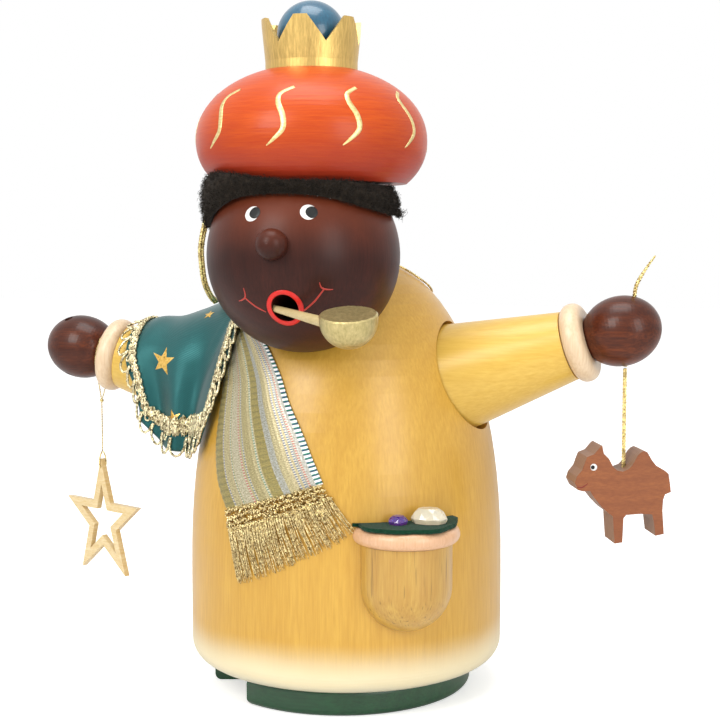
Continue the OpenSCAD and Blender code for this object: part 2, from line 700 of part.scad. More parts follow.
module pocket_pouch() {
    round_z = pouch_top_z - pouch_straight;
    color("#D9AE55") difference() {
        pocket_frame() {
            translate([0, 0, round_z]) cylinder(r = pouch_r, h = pouch_straight, $fn = fn_big);
            intersection() {
                translate([0, 0, round_z]) sphere(r = pouch_r, $fn = fn_big);
                translate([0, 0, round_z - pouch_r - cut])
                    cylinder(r = pouch_r + cut, h = pouch_r + cut, $fn = fn_big);
            }
        }
        body_block();
    }
}

module pocket_rim() {
    e = pocket_rim_h / 2 - 0.1;
    color("#DDB991") difference() {
        pocket_frame() translate([0, 0, rim_z]) rotate_extrude($fn = fn_big)
            rounded_disc_outline(pocket_rim_r, pocket_rim_h, e);
        body_block();
    }
}

module pocket_felt() {
    n = 28;
    r = pocket_rim_r - 0.8;
    wave = function(a) 0.7 * sin(5 * a + 20) + 0.4 * sin(9 * a);
    color("#0F4A2C") difference() {
        pocket_frame() translate([0, 0, felt_z]) linear_extrude(felt_t)
            polygon([for (k = [0 : n - 1]) let (a = k * 360 / n)
                (r + wave(a)) * [sin(a), -cos(a)]]);
        body_block(0.3);
    }
}

// Cut stone: a table, a crown of facets and a girdle
module gem(r, h) {
    girdle = h * 0.3;
    cylinder(r1 = r * 0.92, r2 = r, h = girdle, $fn = 8);
    translate([0, 0, girdle]) cylinder(r1 = r, r2 = r * 0.5, h = h - girdle, $fn = 8);
}

// A stone's place on the felt: aside, out from the body and its turn
module on_felt(side, out, turn) {
    pocket_frame() translate([side, -out, felt_z + felt_t + 0.05]) rotate([0, 0, turn]) children();
}

module gem_purple() {
    color("#4B2A8C") on_felt(-5.2, 5.4, 0) gem(3.65, 3);
}

module gem_clear() {
    color("#E9D9A8") on_felt(5.9, 7.5, -36) scale([1.35, 1, 1]) gem(5.2, 5.3);
}

// ---------------------------------------------------------------- cape

cape_nu = 21;
cape_nv = 29;
// Distances aside of the cape's two edges and its ridge's height, from the ridge to the hem
cape_cuff_edge = [87, 87, 87, 86, 82.5, 79.5, 78];
cape_neck_edge = [34, 33, 33, 33.5, 35.5, 39, 45];
cape_ridge = [157, 153.5, 149.5, 146, 143.2, 142.8, 140];
// Length of cloth from the ridge to the hem, from the cuff to the neck
cape_drop = [51, 57, 63, 67, 70, 72, 70];
// Round support under the cape in the plane x = -x: [radius, centre y, centre z]
function cape_support(x) = let (s = x / cos(rise_right), t = min(max((x - 38) / 34, 0), 1),
        k = t * t * (3 - 2 * t), sleeve = sleeve_rad(max(s, seat_s_right), -1) / cos(rise_right),
        r = 25 + (sleeve + 0.3 - 25) * k)
    [r, arm_point(-1, s)[1] * k, along(cape_ridge, (x - 33) / 54) - r];
function soft_max(a, b, k) = (a + b + sqrt(pow(a - b, 2) + k * k)) / 2;
// Point of the cape: u across from the cuff, w along the cloth from -1 (back) to 1 (front)
function cape_point(u, w, off) = let (
        x = along(cape_cuff_edge, abs(w)) * (1 - u) + along(cape_neck_edge, abs(w)) * u,
        sup = cape_support(x), rr = sup[0] + 2 * cloth_gap + off, l = abs(w) * along(cape_drop, u),
        over = min(l / rr * 180 / PI, 84),
        hang = max(0, l - rr * 84 * PI / 180), side = w < 0 ? -1 : 1,
        fold = cape_fold * sin(900 * u + 60 * side) * pow(min(1, l / 45), 2),
        zz = sup[2] + rr * cos(over) - hang * 0.985,
        out = rr * sin(over) + hang * 0.10 + fold * min(1, over / 60),
        front = side > 0 ? -sup[1] + out : sup[1] + out,
        rb = body_rad(zz) + scarf_t + 3 * cloth_gap + 0.8 + off,
        wall = x < rb ? sqrt(rb * rb - x * x) : 0,
        y = zz > body_height(x) + 2 ? front : soft_max(front, wall, 2))
    [-x, over < 20 ? sup[1] - side * rr * sin(over) : -side * y, zz];

module cape() {
    grid = function(off) [for (i = [0 : cape_nu - 1], j = [0 : cape_nv - 1])
        cape_point(i / (cape_nu - 1), 2 * j / (cape_nv - 1) - 1, off)];
    color("#0F4F4C") sheet(grid(0), grid(cape_t), cape_nu, cape_nv);
}

// Lace edging along the cape's hem: a flat band just outside the cloth
function hem_uw() = concat(
    [for (k = [0 : 16]) [0, -0.9 + 1.8 * k / 16]],
    [for (k = [1 : 15]) [k / 16, 1]],
    [for (k = [0 : cape_nv - 1]) [1, 1 - 2 * k / (cape_nv - 1)]],
    [for (k = [1 : 15]) [1 - k / 16, -1]]);

trim_gap = 0.8;                    // free distance of the lace from the cape's cloth
trim_t = 1.2;                      // thickness of the lace
module cape_trim() {
    uw = hem_uw();
    n = len(uw);
    edge = [for (p = uw) cape_point(p[0], p[1], cape_t + trim_gap)];
    inner = [for (p = uw) cape_point(0.5 + (p[0] - 0.5) * 0.84, p[1] * 0.87, cape_t + trim_gap)];
    edge2 = [for (p = uw) cape_point(p[0], p[1], cape_t + trim_gap + trim_t)];
    inner2 = [for (p = uw) cape_point(0.5 + (p[0] - 0.5) * 0.84, p[1] * 0.87, cape_t + trim_gap + trim_t)];
    pts = concat(edge, inner, inner2, edge2);
    faces = [for (k = [0 : n - 1], m = [0 : 3]) let (k2 = (k + 1) % n, m2 = (m + 1) % 4)
        each [[m * n + k, m2 * n + k2, m2 * n + k], [m * n + k, m * n + k2, m2 * n + k2]]];
    color(gold) polyhedron(pts, faces, convexity = 8);
}

// Cord that holds the cape; it lies on the shoulders behind the neck
module cape_tie() {
    lift = tie_d / 2 + 0.6;
    p = [for (q = TIE_ROUTE) [q[1] * sin(q[0]), -q[1] * cos(q[0]), body_height(q[1]) + lift]];
    color(gold) tube(smooth(p, 3), tie_d);
}

// ---------------------------------------------------------------- scarf

// Left and right edge of the scarf: direction and height from the shoulder to the fringe
scarf_left_az = [-66, -52, -43, -40, -38, -34, -27];
scarf_left_z = [140, 132, 122, 110, 98, 86, 75.5];
scarf_right_az = [-33, -20, -10, -4, 2, 6.5, 10.5];
scarf_right_z = [143, 136.5, 127, 117, 107, 97.5, 88.7];
scarf_nu = 21;
scarf_nv = 25;
function scarf_point(u, v, off) = let (
        az = along(scarf_left_az, v) * (1 - u) + along(scarf_right_az, v) * u,
        z = along(scarf_left_z, v) * (1 - u) + along(scarf_right_z, v) * u,
        ripple = 0.35 * (1 + sin(u * 1080)) * (1 - 0.75 * v))
    on_body(az, z, cloth_gap + off + ripple);

module scarf() {
    grid = function(off) [for (i = [0 : scarf_nu - 1], j = [0 : scarf_nv - 1])
        scarf_point(i / (scarf_nu - 1), j / (scarf_nv - 1), off)];
    color("#B7A25E") sheet(grid(0), grid(scarf_t), scarf_nu, scarf_nv);
}

// Fringe: a knotted header with threads that hang from it; u across, drop from 0 to 1
function fringe_at(u, drop, off) = let (
        az0 = -27 + 37.5 * u, z0 = 75.5 + 13.2 * u - 1.0,
        az = az0 + drop * (5.5 + 6 * u * u), z = z0 - drop * (25.5 - 9 * u * u))
    on_body(az, z, cloth_gap + off);

module fringe_strand(u, len_share, lift) {
    p = [fringe_at(u, 0.16, 0.9), fringe_at(u, 0.6, 0.5 + lift), fringe_at(u, len_share, 0.3 + lift / 2)];
    w = [0.30, 0.28, 0.14];
    pts = [for (i = [0 : 2]) each [p[i] + [-w[i], 0, 0], p[i] + [w[i], 0, 0],
        p[i] * (1 + 1.6 * w[i] / body_r)]];
    faces = [[0, 1, 2], [6, 8, 7], for (i = [0 : 1], k = [0 : 2]) let (a = 3 * i + k,
        b = 3 * i + (k + 1) % 3) each [[a, a + 3, b + 3], [a, b + 3, b]]];
    polyhedron(pts, faces);
}

module scarf_fringe() {
    n = fringe_strands;
    m = 25;
    header = function(off) [for (i = [0 : m - 1], d = [0.005, 0.11, 0.22])
        fringe_at(i / (m - 1), d, off + (d == 0.11 ? 0.5 : 0))];
    color(gold) {
        sheet(header(0), header(1.5), m, 3);
        for (k = [0 : n - 1]) fringe_strand(0.01 + 0.98 * k / (n - 1),
            0.88 + 0.12 * sin(k * 137) * sin(k * 61), 0.25 + 0.25 * sin(k * 97));
    }
}

// ---------------------------------------------------------------- cords and ornaments

module ear_cord() {
    color(gold) tube(smooth(EAR_ROUTE, 2), ear_cord_d);
}

module camel_cord_tail() {
    color(gold) tube(smooth(TAIL_ROUTE, 2), cord_d);
}

module camel_cord() {
    color(gold) tube(CAMEL_ROUTE, cord_d);
}

// Outline of the camel seen from its side, muzzle towards -x, feet at 0
CAMEL = [[-19.3, 22.8], [-18.6, 25.2], [-16.6, 27.6], [-15.6, 30.4], [-14.8, 32.4], [-12.2, 33.4],
    [-10, 36], [-9.2, 36.5], [-8.6, 33.6], [-6.6, 31.6], [-5, 28.6], [-3.4, 27.2], [-1.4, 26.8],
    [0.8, 27.6], [2.2, 29], [4.2, 32.6], [5.4, 33.8], [6.6, 34.3], [7.8, 33.8], [9.6, 30.8],
    [11.2, 28.8], [14.6, 26.8], [16, 25.6], [16.6, 22], [17, 18.8], [14.8, 18], [14.1, 16],
    [13.9, 12], [14.6, 3.2], [11.4, 2.6], [10.7, 8], [10, 10.6], [5.8, 10.9], [0.2, 10.6],
    [-0.8, 9.4], [-1.1, 0.4], [-4, 0], [-4.5, 6], [-4.8, 10.2], [-7, 11.8], [-10, 14.8],
    [-12, 17.4], [-13.6, 19.8], [-16, 19.7], [-18, 20.2]];

module camel() {
    k = camel_h / 36.5;
    color("#6B3A1E") difference() {
        translate([camel_x, camel_y, saddle_z - 27.6 * k]) rotate([90, 0, camel_az])
            linear_extrude(camel_t, center = true) polygon([for (q = CAMEL) k * q - [0.8, 0]]);
        translate([camel_x, camel_y, saddle_z - 6])
            cylinder(d = cord_d + 0.4, h = 8, $fn = fn_small);
    }
}

function star_outline(r, inner) = [for (k = [0 : 9]) let (q = k % 2 == 0 ? r : r * inner)
    [q * sin(k * 36), q * cos(k * 36)]];

// Frame in the star's plane with its origin at the hanging hole
module star_frame() {
    translate([star_x, star_y, star_tip_z - star_hole_down]) rotate([90, 0, star_az])
        rotate([0, 0, star_tilt]) children();
}

module star() {
    inner = sin(18) / sin(54);
    hole_r = star_r - star_frame_w / sin(18) * 0.98;
    color(wood_pale) star_frame() difference() {
        translate([0, star_hole_down - star_r, 0]) difference() {
            linear_extrude(star_t, center = true) polygon(star_outline(star_r, inner));
            linear_extrude(star_t + 2 * cut, center = true) polygon(star_outline(hole_r, inner));
        }
        cylinder(d = thread_d + 0.5, h = star_t + 2 * cut, center = true, $fn = fn_small);
    }
}

// Small loop through the star's hole; its ends lie side by side under the thread
module star_eye() {
    rise = eye_z - star_tip_z + star_hole_down;
    w = star_t / 2 + 0.5;
    side = [[thread_d * 0.55, rise], [w * 0.8, rise * 0.7], [w, rise * 0.4], [w, 0.9], [w - 0.3, 0.3]];
    p = concat(side, [[w * 0.5, 0], [-w * 0.5, 0]], [for (i = [4 : -1 : 0]) [-side[i][0], side[i][1]]]);
    color(gold) translate([star_x, star_y, star_tip_z - star_hole_down]) rotate([0, 0, star_az])
        tube([for (q = p) [0, q[0], q[1]]], thread_d);
}

// Loop over the right wrist and the thread that hangs from it
module star_thread() {
    s = cuff_s(-1) + cuff_w + thread_out;
    r = hand_rad(hand_dip(-1) + thread_out + 0.1) + thread_d / 2 + 0.12;
    c = arm_point(-1, s);
    d = arm_dir(-1, rise_right);
    up = unit([0, 0, 1] - d[2] * d);
    fore = cross(up, d);
    knot = [star_x, star_y, knot_z];
    gap = thread_d * 0.6;
    a0 = asin(r / norm(knot - c));
    ring = [for (k = [0 : 16]) let (a = -a0 + (180 + 2 * a0) * k / 16)
        c + r * (cos(a) * fore + sin(a) * up)];
    leg = function(q, y) [for (t = [0.3, 0.65]) q + t * (knot + [0, y, 0] - q)];
    y0 = fore[1] > 0 ? gap : -gap;
    p = concat([[star_x, star_y, eye_z + 0.1], [star_x, star_y, 95], [star_x, star_y, 103],
            [star_x, star_y, knot_z - 1]], [for (k = [1, 0]) leg(ring[0], 0)[k]], ring,
        leg(ring[16], -y0), [knot - [0, y0, 0]]);
    color(gold) tube(p, thread_d);
}

// ---------------------------------------------------------------- nodes

module sleeve_left() { sleeve(1); }
module sleeve_right() { sleeve(-1); }
module cuff_left() { cuff(1); }
module cuff_right() { cuff(-1); }
module wrist_dowel_left() { wrist_dowel(1); }
module wrist_dowel_right() { wrist_dowel(-1); }
module arm_dowel_left() { arm_dowel(1); }
module arm_dowel_right() { arm_dowel(-1); }

foot_base();
base_plug();
ember_tray();
tray_nail();
body_shell();
neck_dowels();
head();
nose();
pipe_stem();
pipe_bowl();
turban_dowel();
turban();
crown();
crown_ball();
hair();
arm_dowel_left();
sleeve_left();
cuff_left();
wrist_dowel_left();
hand_left();
arm_dowel_right();
sleeve_right();
cuff_right();
wrist_dowel_right();
hand_right();
pocket_pouch();
pocket_rim();
pocket_felt();
gem_purple();
gem_clear();
cape();
cape_trim();
cape_tie();
scarf();
scarf_fringe();
ear_cord();
camel_cord_tail();
camel_cord();
camel();
star_thread();
star_eye();
star();
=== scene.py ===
import bisect
import random
from math import asin, cos, degrees, hypot, pi, radians, sin, sqrt

import bpy
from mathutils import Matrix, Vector


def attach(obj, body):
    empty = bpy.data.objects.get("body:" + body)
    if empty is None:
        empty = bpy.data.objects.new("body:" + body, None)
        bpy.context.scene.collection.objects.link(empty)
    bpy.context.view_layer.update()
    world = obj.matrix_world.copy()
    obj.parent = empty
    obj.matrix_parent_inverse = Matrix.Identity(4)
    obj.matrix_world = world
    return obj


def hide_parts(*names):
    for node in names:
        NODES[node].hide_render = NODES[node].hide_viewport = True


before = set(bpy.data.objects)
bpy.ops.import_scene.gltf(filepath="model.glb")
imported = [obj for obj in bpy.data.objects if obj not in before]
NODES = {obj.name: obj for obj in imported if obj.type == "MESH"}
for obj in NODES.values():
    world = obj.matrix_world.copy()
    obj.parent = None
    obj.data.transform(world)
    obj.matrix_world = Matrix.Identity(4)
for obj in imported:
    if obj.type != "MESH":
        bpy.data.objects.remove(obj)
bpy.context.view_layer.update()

MM = 0.001


def sind(a):
    return sin(radians(a))


def cosd(a):
    return cos(radians(a))


# ---- camera, light, floor

scene = bpy.context.scene
scene.view_settings.view_transform = "Standard"


def add_object(name, data):
    ob = bpy.data.objects.new(name, data)
    scene.collection.objects.link(ob)
    return ob


cam_data = bpy.data.cameras.new("camera")
cam_data.lens = 70.75
cam_data.sensor_width = 36.0
cam_data.clip_end = 20.0
cam = add_object("camera", cam_data)
cam.location = (0.17819, -0.53092, 0.177)
cam.rotation_euler = (radians(85), 0, radians(18))
scene.camera = cam


def area_light(name, place, target, size, power, color=(1, 1, 1)):
    data = bpy.data.lights.new(name, "AREA")
    data.shape = "RECTANGLE"
    data.size, data.size_y = size
    data.energy = power
    data.color = color
    ob = add_object(name, data)
    ob.location = place
    ob.rotation_euler = (Vector(target) - Vector(place)).to_track_quat("-Z", "Y").to_euler()


area_light("key", (-0.35, -0.95, 0.75), (0, 0, 0.14), (0.45, 0.6), 7.5, (1.0, 0.985, 0.96))
area_light("fill", (0.85, -0.65, 0.45), (0, 0, 0.13), (0.4, 0.7), 4.2)
area_light("top", (0.0, -0.1, 1.0), (0, 0, 0.15), (0.6, 0.5), 5.0)

world = bpy.data.worlds.new("world")
scene.world = world
world.use_nodes = True
wt = world.node_tree
wt.nodes.clear()


def background(strength):
    n = wt.nodes.new("ShaderNodeBackground")
    n.inputs["Color"].default_value = (1, 1, 1, 1)
    n.inputs["Strength"].default_value = strength
    return n.outputs[0]


# dim for the light it gives, plain white for camera, glossy and transmission rays
w_path = wt.nodes.new("ShaderNodeLightPath")
white_ray = w_path.outputs["Is Camera Ray"]
for ray in ("Is Glossy Ray", "Is Transmission Ray"):
    either = wt.nodes.new("ShaderNodeMath")
    either.operation = "MAXIMUM"
    wt.links.new(white_ray, either.inputs[0])
    wt.links.new(w_path.outputs[ray], either.inputs[1])
    white_ray = either.outputs[0]
w_mix = wt.nodes.new("ShaderNodeMixShader")
w_out = wt.nodes.new("ShaderNodeOutputWorld")
wt.links.new(white_ray, w_mix.inputs["Fac"])
wt.links.new(background(0.55), w_mix.inputs[1])
wt.links.new(background(1.0), w_mix.inputs[2])
wt.links.new(w_mix.outputs[0], w_out.inputs["Surface"])


# ---- materials

class Mat:
    """A node material around one Principled shader, with short names for its nodes."""

    def __init__(self, name, rough=0.4, metal=0.0, coat=0.0, coat_rough=0.1, sheen=0.0, ior=1.5,
                 spec=0.5, transmission=0.0):
        self.m = bpy.data.materials.new(name)
        self.m.use_nodes = True
        self.t = self.m.node_tree
        self.t.nodes.clear()
        self.out = self.t.nodes.new("ShaderNodeOutputMaterial")
        self.p = self.t.nodes.new("ShaderNodeBsdfPrincipled")
        self.t.links.new(self.p.outputs[0], self.out.inputs["Surface"])
        self.fill(self.p, {"Roughness": rough, "Metallic": metal, "Coat Weight": coat,
                           "Coat Roughness": coat_rough, "Sheen Weight": sheen, "IOR": ior,
                           "Specular IOR Level": spec, "Transmission Weight": transmission})
        self.coord = self.t.nodes.new("ShaderNodeTexCoord")

    def node(self, kind, **values):
        n = self.t.nodes.new("ShaderNode" + kind)
        for key, value in values.items():
            setattr(n, key, value)
        return n

    def put(self, socket, value):
        """Link or set a socket; a colour of three numbers gets its alpha."""
        if isinstance(value, bpy.types.NodeSocket):
            self.t.links.new(value, socket)
        elif value is not None:
            opaque = isinstance(value, tuple) and socket.type == "RGBA"
            socket.default_value = value + (1,) if opaque else value

    def fill(self, n, inputs):
        for key, value in inputs.items():
            n.inputs[key].default_value = value

    def texture(self, kind, vector, inputs, **values):
        n = self.node("Tex" + kind, **values)
        self.put(n.inputs["Vector"], vector)
        self.fill(n, inputs)
        return n.outputs

    def obj(self, scale=(1, 1, 1), move=(0, 0, 0), turn=(0, 0, 0), uv=False):
        n = self.node("Mapping")
        self.t.links.new(self.coord.outputs["UV" if uv else "Object"], n.inputs["Vector"])
        self.fill(n, {"Scale": scale, "Location": move, "Rotation": turn})
        return n.outputs[0]

    def noise(self, vector, scale, detail=3, rough=0.55):
        return self.texture("Noise", vector, {"Scale": scale, "Detail": detail, "Roughness": rough})["Fac"]

    def wave(self, vector, scale, kind="RINGS", axis="Z", distort=0.0, detail=2, dscale=1.0):
        inputs = {"Scale": scale, "Distortion": distort, "Detail": detail, "Detail Scale": dscale}
        return self.texture("Wave", vector, inputs, wave_type=kind, rings_direction=axis,
                            bands_direction=axis)["Fac"]

    def voronoi(self, vector, scale):
        n = self.texture("Voronoi", vector, {"Scale": scale})
        return n["Color"], n["Distance"]

    def ramp(self, fac, stops, kind="LINEAR"):
        """Colour ramp; a stop's colour is three numbers, or one for a grey."""
        n = self.node("ValToRGB")
        n.color_ramp.interpolation = kind
        e = n.color_ramp.elements
        while len(e) < len(stops):
            e.new(0.5)
        for item, (pos, col) in zip(e, stops):
            item.position = pos
            item.color = (*col, 1) if isinstance(col, tuple) else (col, col, col, 1)
        self.put(n.inputs["Fac"], fac)
        return n.outputs["Color"]

    def mix(self, fac, a, b):
        n = self.node("Mix", data_type="RGBA")
        self.put(n.inputs["Factor"], fac)
        self.put(n.inputs[6], a)
        self.put(n.inputs[7], b)
        return n.outputs[2]

    def math(self, op, a, b=None, c=None):
        n = self.node("Math", operation=op)
        self.put(n.inputs[0], a)
        self.put(n.inputs[1], b)
        self.put(n.inputs[2], c)
        return n.outputs[0]

    def xyz(self, vector):
        n = self.node("SeparateXYZ")
        self.put(n.inputs[0], vector)
        return n.outputs

    def bump(self, height, strength, distance=0.0002):
        n = self.node("Bump")
        self.fill(n, {"Strength": strength, "Distance": distance})
        self.put(n.inputs["Height"], height)
        self.t.links.new(n.outputs[0], self.p.inputs["Normal"])

    def color(self, value):
        self.put(self.p.inputs["Base Color"], value)


def wood(name, base, dark, grain=(260, 260, 14), centre=(0.02, 0.01, 0), rough=0.35, coat=0.5,
         coat_rough=0.3, ring=0.25, fleck=0.0, blotch=0.3, extra=None, bump=0.12, spec=0.4):
    """Stained turned wood: fine fibres along the grain, faint year rings and uneven uptake."""
    m = Mat(name, rough=rough, coat=coat, coat_rough=coat_rough, spec=spec)
    fibre = m.noise(m.obj(grain), 5.0, 4, 0.6)
    squeeze = tuple(0.12 if g == min(grain) else 1 for g in grain)
    axis = "XYZ"[grain.index(min(grain))]
    rings = m.wave(m.obj(squeeze, centre), 62, axis=axis, distort=5.0, detail=3, dscale=1.2)
    patches = m.noise(m.obj(), 22, 3, 0.5)
    c = m.mix(m.ramp(fibre, [(0.30, 0.75), (0.72, 0.0)]), base, dark)
    c = m.mix(m.math("MULTIPLY", rings, ring), c, dark)
    c = m.mix(m.ramp(patches, [(0.35, blotch), (0.65, 0.0)]), c, dark)
    if fleck:
        spots = m.noise(m.obj(tuple(g * (1.6 if g > 50 else 1.4) for g in grain)), 3.1, 2, 0.4)
        c = m.mix(m.ramp(spots, [(0.62, 0.0), (0.74, fleck)]), c,
                  tuple(d * 0.45 for d in dark))
    if extra:
        c = extra(m, c)
    m.color(c)
    m.bump(fibre, bump, 0.0002)
    return m.m


def uneven_height(m, scale, depth):
    """Height over the table in metres, made uneven by a noise."""
    rise = m.math("MULTIPLY", m.noise(m.obj(), scale, 2), depth)
    return m.math("ADD", m.xyz(m.coord.outputs["Object"])[2], rise)


def fade(m, c, z, stretch, stops, tint):
    """Lay a tint over c with a soft border in height."""
    return m.mix(m.ramp(m.math("MULTIPLY", z, stretch), stops, "EASE"), c, tint)


def body_fade(m, c):
    """The lower edge is sprayed pale, with a soft border; the last band at the very bottom is greyer and
    darker.
    """
    z = uneven_height(m, 30, 0.004)
    c = fade(m, c, z, 20.0, [(0.36, 1), (0.66, 0)], (0.78, 0.68, 0.44))
    return fade(m, c, z, 20.0, [(0.22, 0.85), (0.36, 0)], (0.60, 0.58, 0.47))


def head_top_painted_light(m, c):
    """Painted light: the top of the head, forehead included, is painted a lighter, warmer brown than the
    cheeks, as lit from above.
    """
    return fade(m, c, uneven_height(m, 45, 0.016), 4.0, [(0.70, 0), (0.80, 0.8)], (0.145, 0.030, 0.011))


def turban_underside_painted_shade(m, c):
    """Painted shade: the turban's underside is painted darker than its top, as shaded from light above."""
    return fade(m, c, uneven_height(m, 40, 0.010), 4.0, [(0.80, 0.85), (0.90, 0)], (0.300, 0.024, 0.013))


yellow = wood("yellow_stained_wood", (0.66, 0.39, 0.062), (0.50, 0.26, 0.030), ring=0.22, blotch=0.25,
              coat=0.25, extra=body_fade)
yellow_arm = wood("yellow_sleeve_wood", (0.74, 0.50, 0.10), (0.60, 0.35, 0.045), grain=(14, 260, 260),
                  coat=0.25, ring=0.15, blotch=0.2)
# the head's extra tint is painted light on the top of the head
brown = wood("brown_stained_head", (0.070, 0.016, 0.010), (0.022, 0.006, 0.004), coat=0.08, coat_rough=0.25,
             ring=0.30, blotch=0.75, rough=0.42, spec=0.16, extra=head_top_painted_light)
brown_hand = wood("brown_stained_hand", (0.20, 0.044, 0.011), (0.026, 0.006, 0.004),
                  grain=(14, 260, 260), coat=0.15, coat_rough=0.14, ring=0.35, blotch=0.8, spec=0.2)
# the turban's extra tint is painted shade on its underside
red = wood("red_stained_wood", (0.62, 0.098, 0.008), (0.42, 0.040, 0.008), grain=(20, 20, 420), coat=0.15,
           coat_rough=0.24, ring=0.2, blotch=0.4, spec=0.15, extra=turban_underside_painted_shade)
blue = wood("blue_stained_wood", (0.020, 0.150, 0.240), (0.008, 0.055, 0.110), coat=0.5, coat_rough=0.12,
            ring=0.3, blotch=0.6)
green = wood("green_stained_wood", (0.012, 0.088, 0.030), (0.004, 0.030, 0.012), grain=(14, 260, 260),
             coat=0.4)
pale = wood("pale_lacquered_wood", (0.80, 0.64, 0.44), (0.62, 0.42, 0.24), coat=0.3,
            ring=0.2, blotch=0.2)
rim_wood = wood("pocket_rim_wood", (0.80, 0.52, 0.33), (0.60, 0.32, 0.16), coat=0.35,
                ring=0.15, blotch=0.25)
pouch_wood = wood("pocket_pouch_wood", (0.62, 0.40, 0.09), (0.42, 0.21, 0.035), ring=0.35, fleck=0.8,
                  coat=0.4, centre=(-0.03, 0.05, 0))
star_wood = wood("star_wood", (0.83, 0.70, 0.45), (0.62, 0.42, 0.14), grain=(60, 60, 300), coat=0.15,
                 coat_rough=0.16, ring=0.2, blotch=0.3)
stem_wood = wood("pipe_stem_wood", (0.62, 0.50, 0.26), (0.44, 0.33, 0.14), grain=(20, 260, 260), coat=0.2,
                 coat_rough=0.16)


CAMEL_TURN = 24.3    # degrees from facing the front


def camel_wood():
    """Brown faces; the sawn edges are lighter and greyer and show the saw."""
    face = (sind(CAMEL_TURN), -cosd(CAMEL_TURN), 0)

    def edges(m, c):
        dot = m.node("VectorMath", operation="DOT_PRODUCT")
        m.t.links.new(m.coord.outputs["Normal"], dot.inputs[0])
        dot.inputs[1].default_value = face
        side = m.math("ABSOLUTE", dot.outputs["Value"])
        across = m.obj(turn=(0, 0, -radians(CAMEL_TURN)))
        saw = m.wave(across, 190, kind="BANDS", axis="Y", distort=2.5, dscale=3)
        edge = m.mix(m.math("MULTIPLY", saw, 0.55), (0.31, 0.17, 0.10), (0.17, 0.08, 0.045))
        return m.mix(m.ramp(side, [(0.55, 0), (0.75, 1)]), edge, c)
    return wood("camel_wood", (0.34, 0.110, 0.030), (0.19, 0.052, 0.015), grain=(24, 200, 300), coat=0.08,
                coat_rough=0.4, rough=0.5, ring=0.35, blotch=0.5, extra=edges)


def gold_paint(name, stretch, base=(0.70, 0.53, 0.22), dark=(0.42, 0.30, 0.10)):
    m = Mat(name, rough=0.36, metal=0.82)
    streak = m.noise(m.obj(stretch), 6.0, 4, 0.65)
    m.color(m.mix(m.ramp(streak, [(0.3, 0), (0.75, 1)]), dark, base))
    m.bump(streak, 0.35, 0.0003)
    m.put(m.p.inputs["Roughness"], m.math("MULTIPLY_ADD", streak, 0.25, 0.24))
    return m.m


gold_crown = gold_paint("gold_paint_crown", (240, 240, 26), (0.80, 0.55, 0.18), (0.50, 0.33, 0.10))
gold_bowl = gold_paint("gold_paint_bowl", (150, 150, 60), (0.66, 0.54, 0.26), (0.38, 0.31, 0.12))
gold_line = gold_paint("gold_paint_line", (90, 90, 220), (0.95, 0.80, 0.42), (0.60, 0.46, 0.16))


def thread(name, light, dark, cell=1900, rough=0.32, metal=0.75):
    """Metal-wrapped thread: each small facet of the wrap gets a colour of its own from dark to bright,
    painted shade and painted glints for the light each facet catches.
    """
    m = Mat(name, rough=rough, metal=metal)
    cells, dist = m.voronoi(m.obj(), cell)
    middle = tuple((a + b) / 2 for a, b in zip(light, dark))
    painted_glint = tuple(min(1, a * 1.25) for a in light)
    # the facet colours run from painted shade up to painted glints
    m.color(m.ramp(m.xyz(cells)[0], [(0.05, dark), (0.35, middle), (0.75, light), (1.0, painted_glint)]))
    m.bump(dist, 0.6, 0.0002)
    return m.m


gold_thread = thread("gold_thread", (0.86, 0.70, 0.36), (0.22, 0.14, 0.04))
lace_thread = thread("lace_thread", (0.90, 0.78, 0.50), (0.16, 0.12, 0.05), cell=1500, rough=0.28)
cord_thread = thread("cord_thread", (0.95, 0.76, 0.34), (0.33, 0.23, 0.07), cell=1700)


def mottled(name, scale, a, b, **look):
    """One colour that a noise mixes into another."""
    m = Mat(name, **look)
    m.color(m.mix(m.noise(m.obj(), scale), a, b))
    return m.m


white_thread = mottled("hem_stitches", 900, (0.75, 0.73, 0.70), (0.35, 0.33, 0.31), rough=0.6, sheen=0.3)
steel = mottled("tray_steel", 120, (0.50, 0.48, 0.44), (0.30, 0.27, 0.23), rough=0.35, metal=1.0)


def paint(name, base, rough=0.35, vary=0.25, coat=0.15):
    m = Mat(name, rough=rough, coat=coat, coat_rough=0.15, spec=0.3)
    n = m.noise(m.obj(), 260, 3)
    m.color(m.mix(m.math("MULTIPLY", n, vary), base, tuple(b * 0.6 for b in base)))
    m.bump(n, 0.1, 0.0001)
    return m.m


white_paint = paint("white_paint", (0.88, 0.87, 0.84), vary=0.1)
black_paint = paint("black_paint", (0.008, 0.009, 0.009), rough=0.45, coat=0.05)
red_paint = paint("red_paint", (0.66, 0.018, 0.012))
dark_red_paint = paint("dark_red_paint", (0.20, 0.02, 0.012))
smile_paint = paint("smile_paint", (0.42, 0.035, 0.022))


def satin():
    m = Mat("teal_satin", rough=0.36, metal=0.55, sheen=0.25)
    m.p.inputs["Anisotropic"].default_value = 0.5
    twill = m.wave(m.obj(turn=(0, 0, radians(52)), uv=True), 560, kind="BANDS", axis="X", distort=0.4)
    slub = m.noise(m.obj((30, 400, 1), uv=True), 3, 3)
    c = m.mix(m.math("MULTIPLY", twill, 0.45), (0.008, 0.125, 0.125), (0.003, 0.045, 0.050))
    m.color(m.mix(m.math("MULTIPLY", slub, 0.35), c, (0.003, 0.034, 0.038)))
    m.bump(m.math("ADD", twill, m.math("MULTIPLY", m.noise(m.obj(uv=True), 90, 2), 0.6)), 0.35, 0.00012)
    return m.m


def foil():
    m = Mat("printed_gold", rough=0.34, metal=0.8)
    n = m.noise(m.obj(), 700, 3, 0.7)
    m.color(m.ramp(n, [(0.25, (0.25, 0.13, 0.02)), (0.45, (0.78, 0.47, 0.10)), (0.75, (0.98, 0.70, 0.24))]))
    return m.m


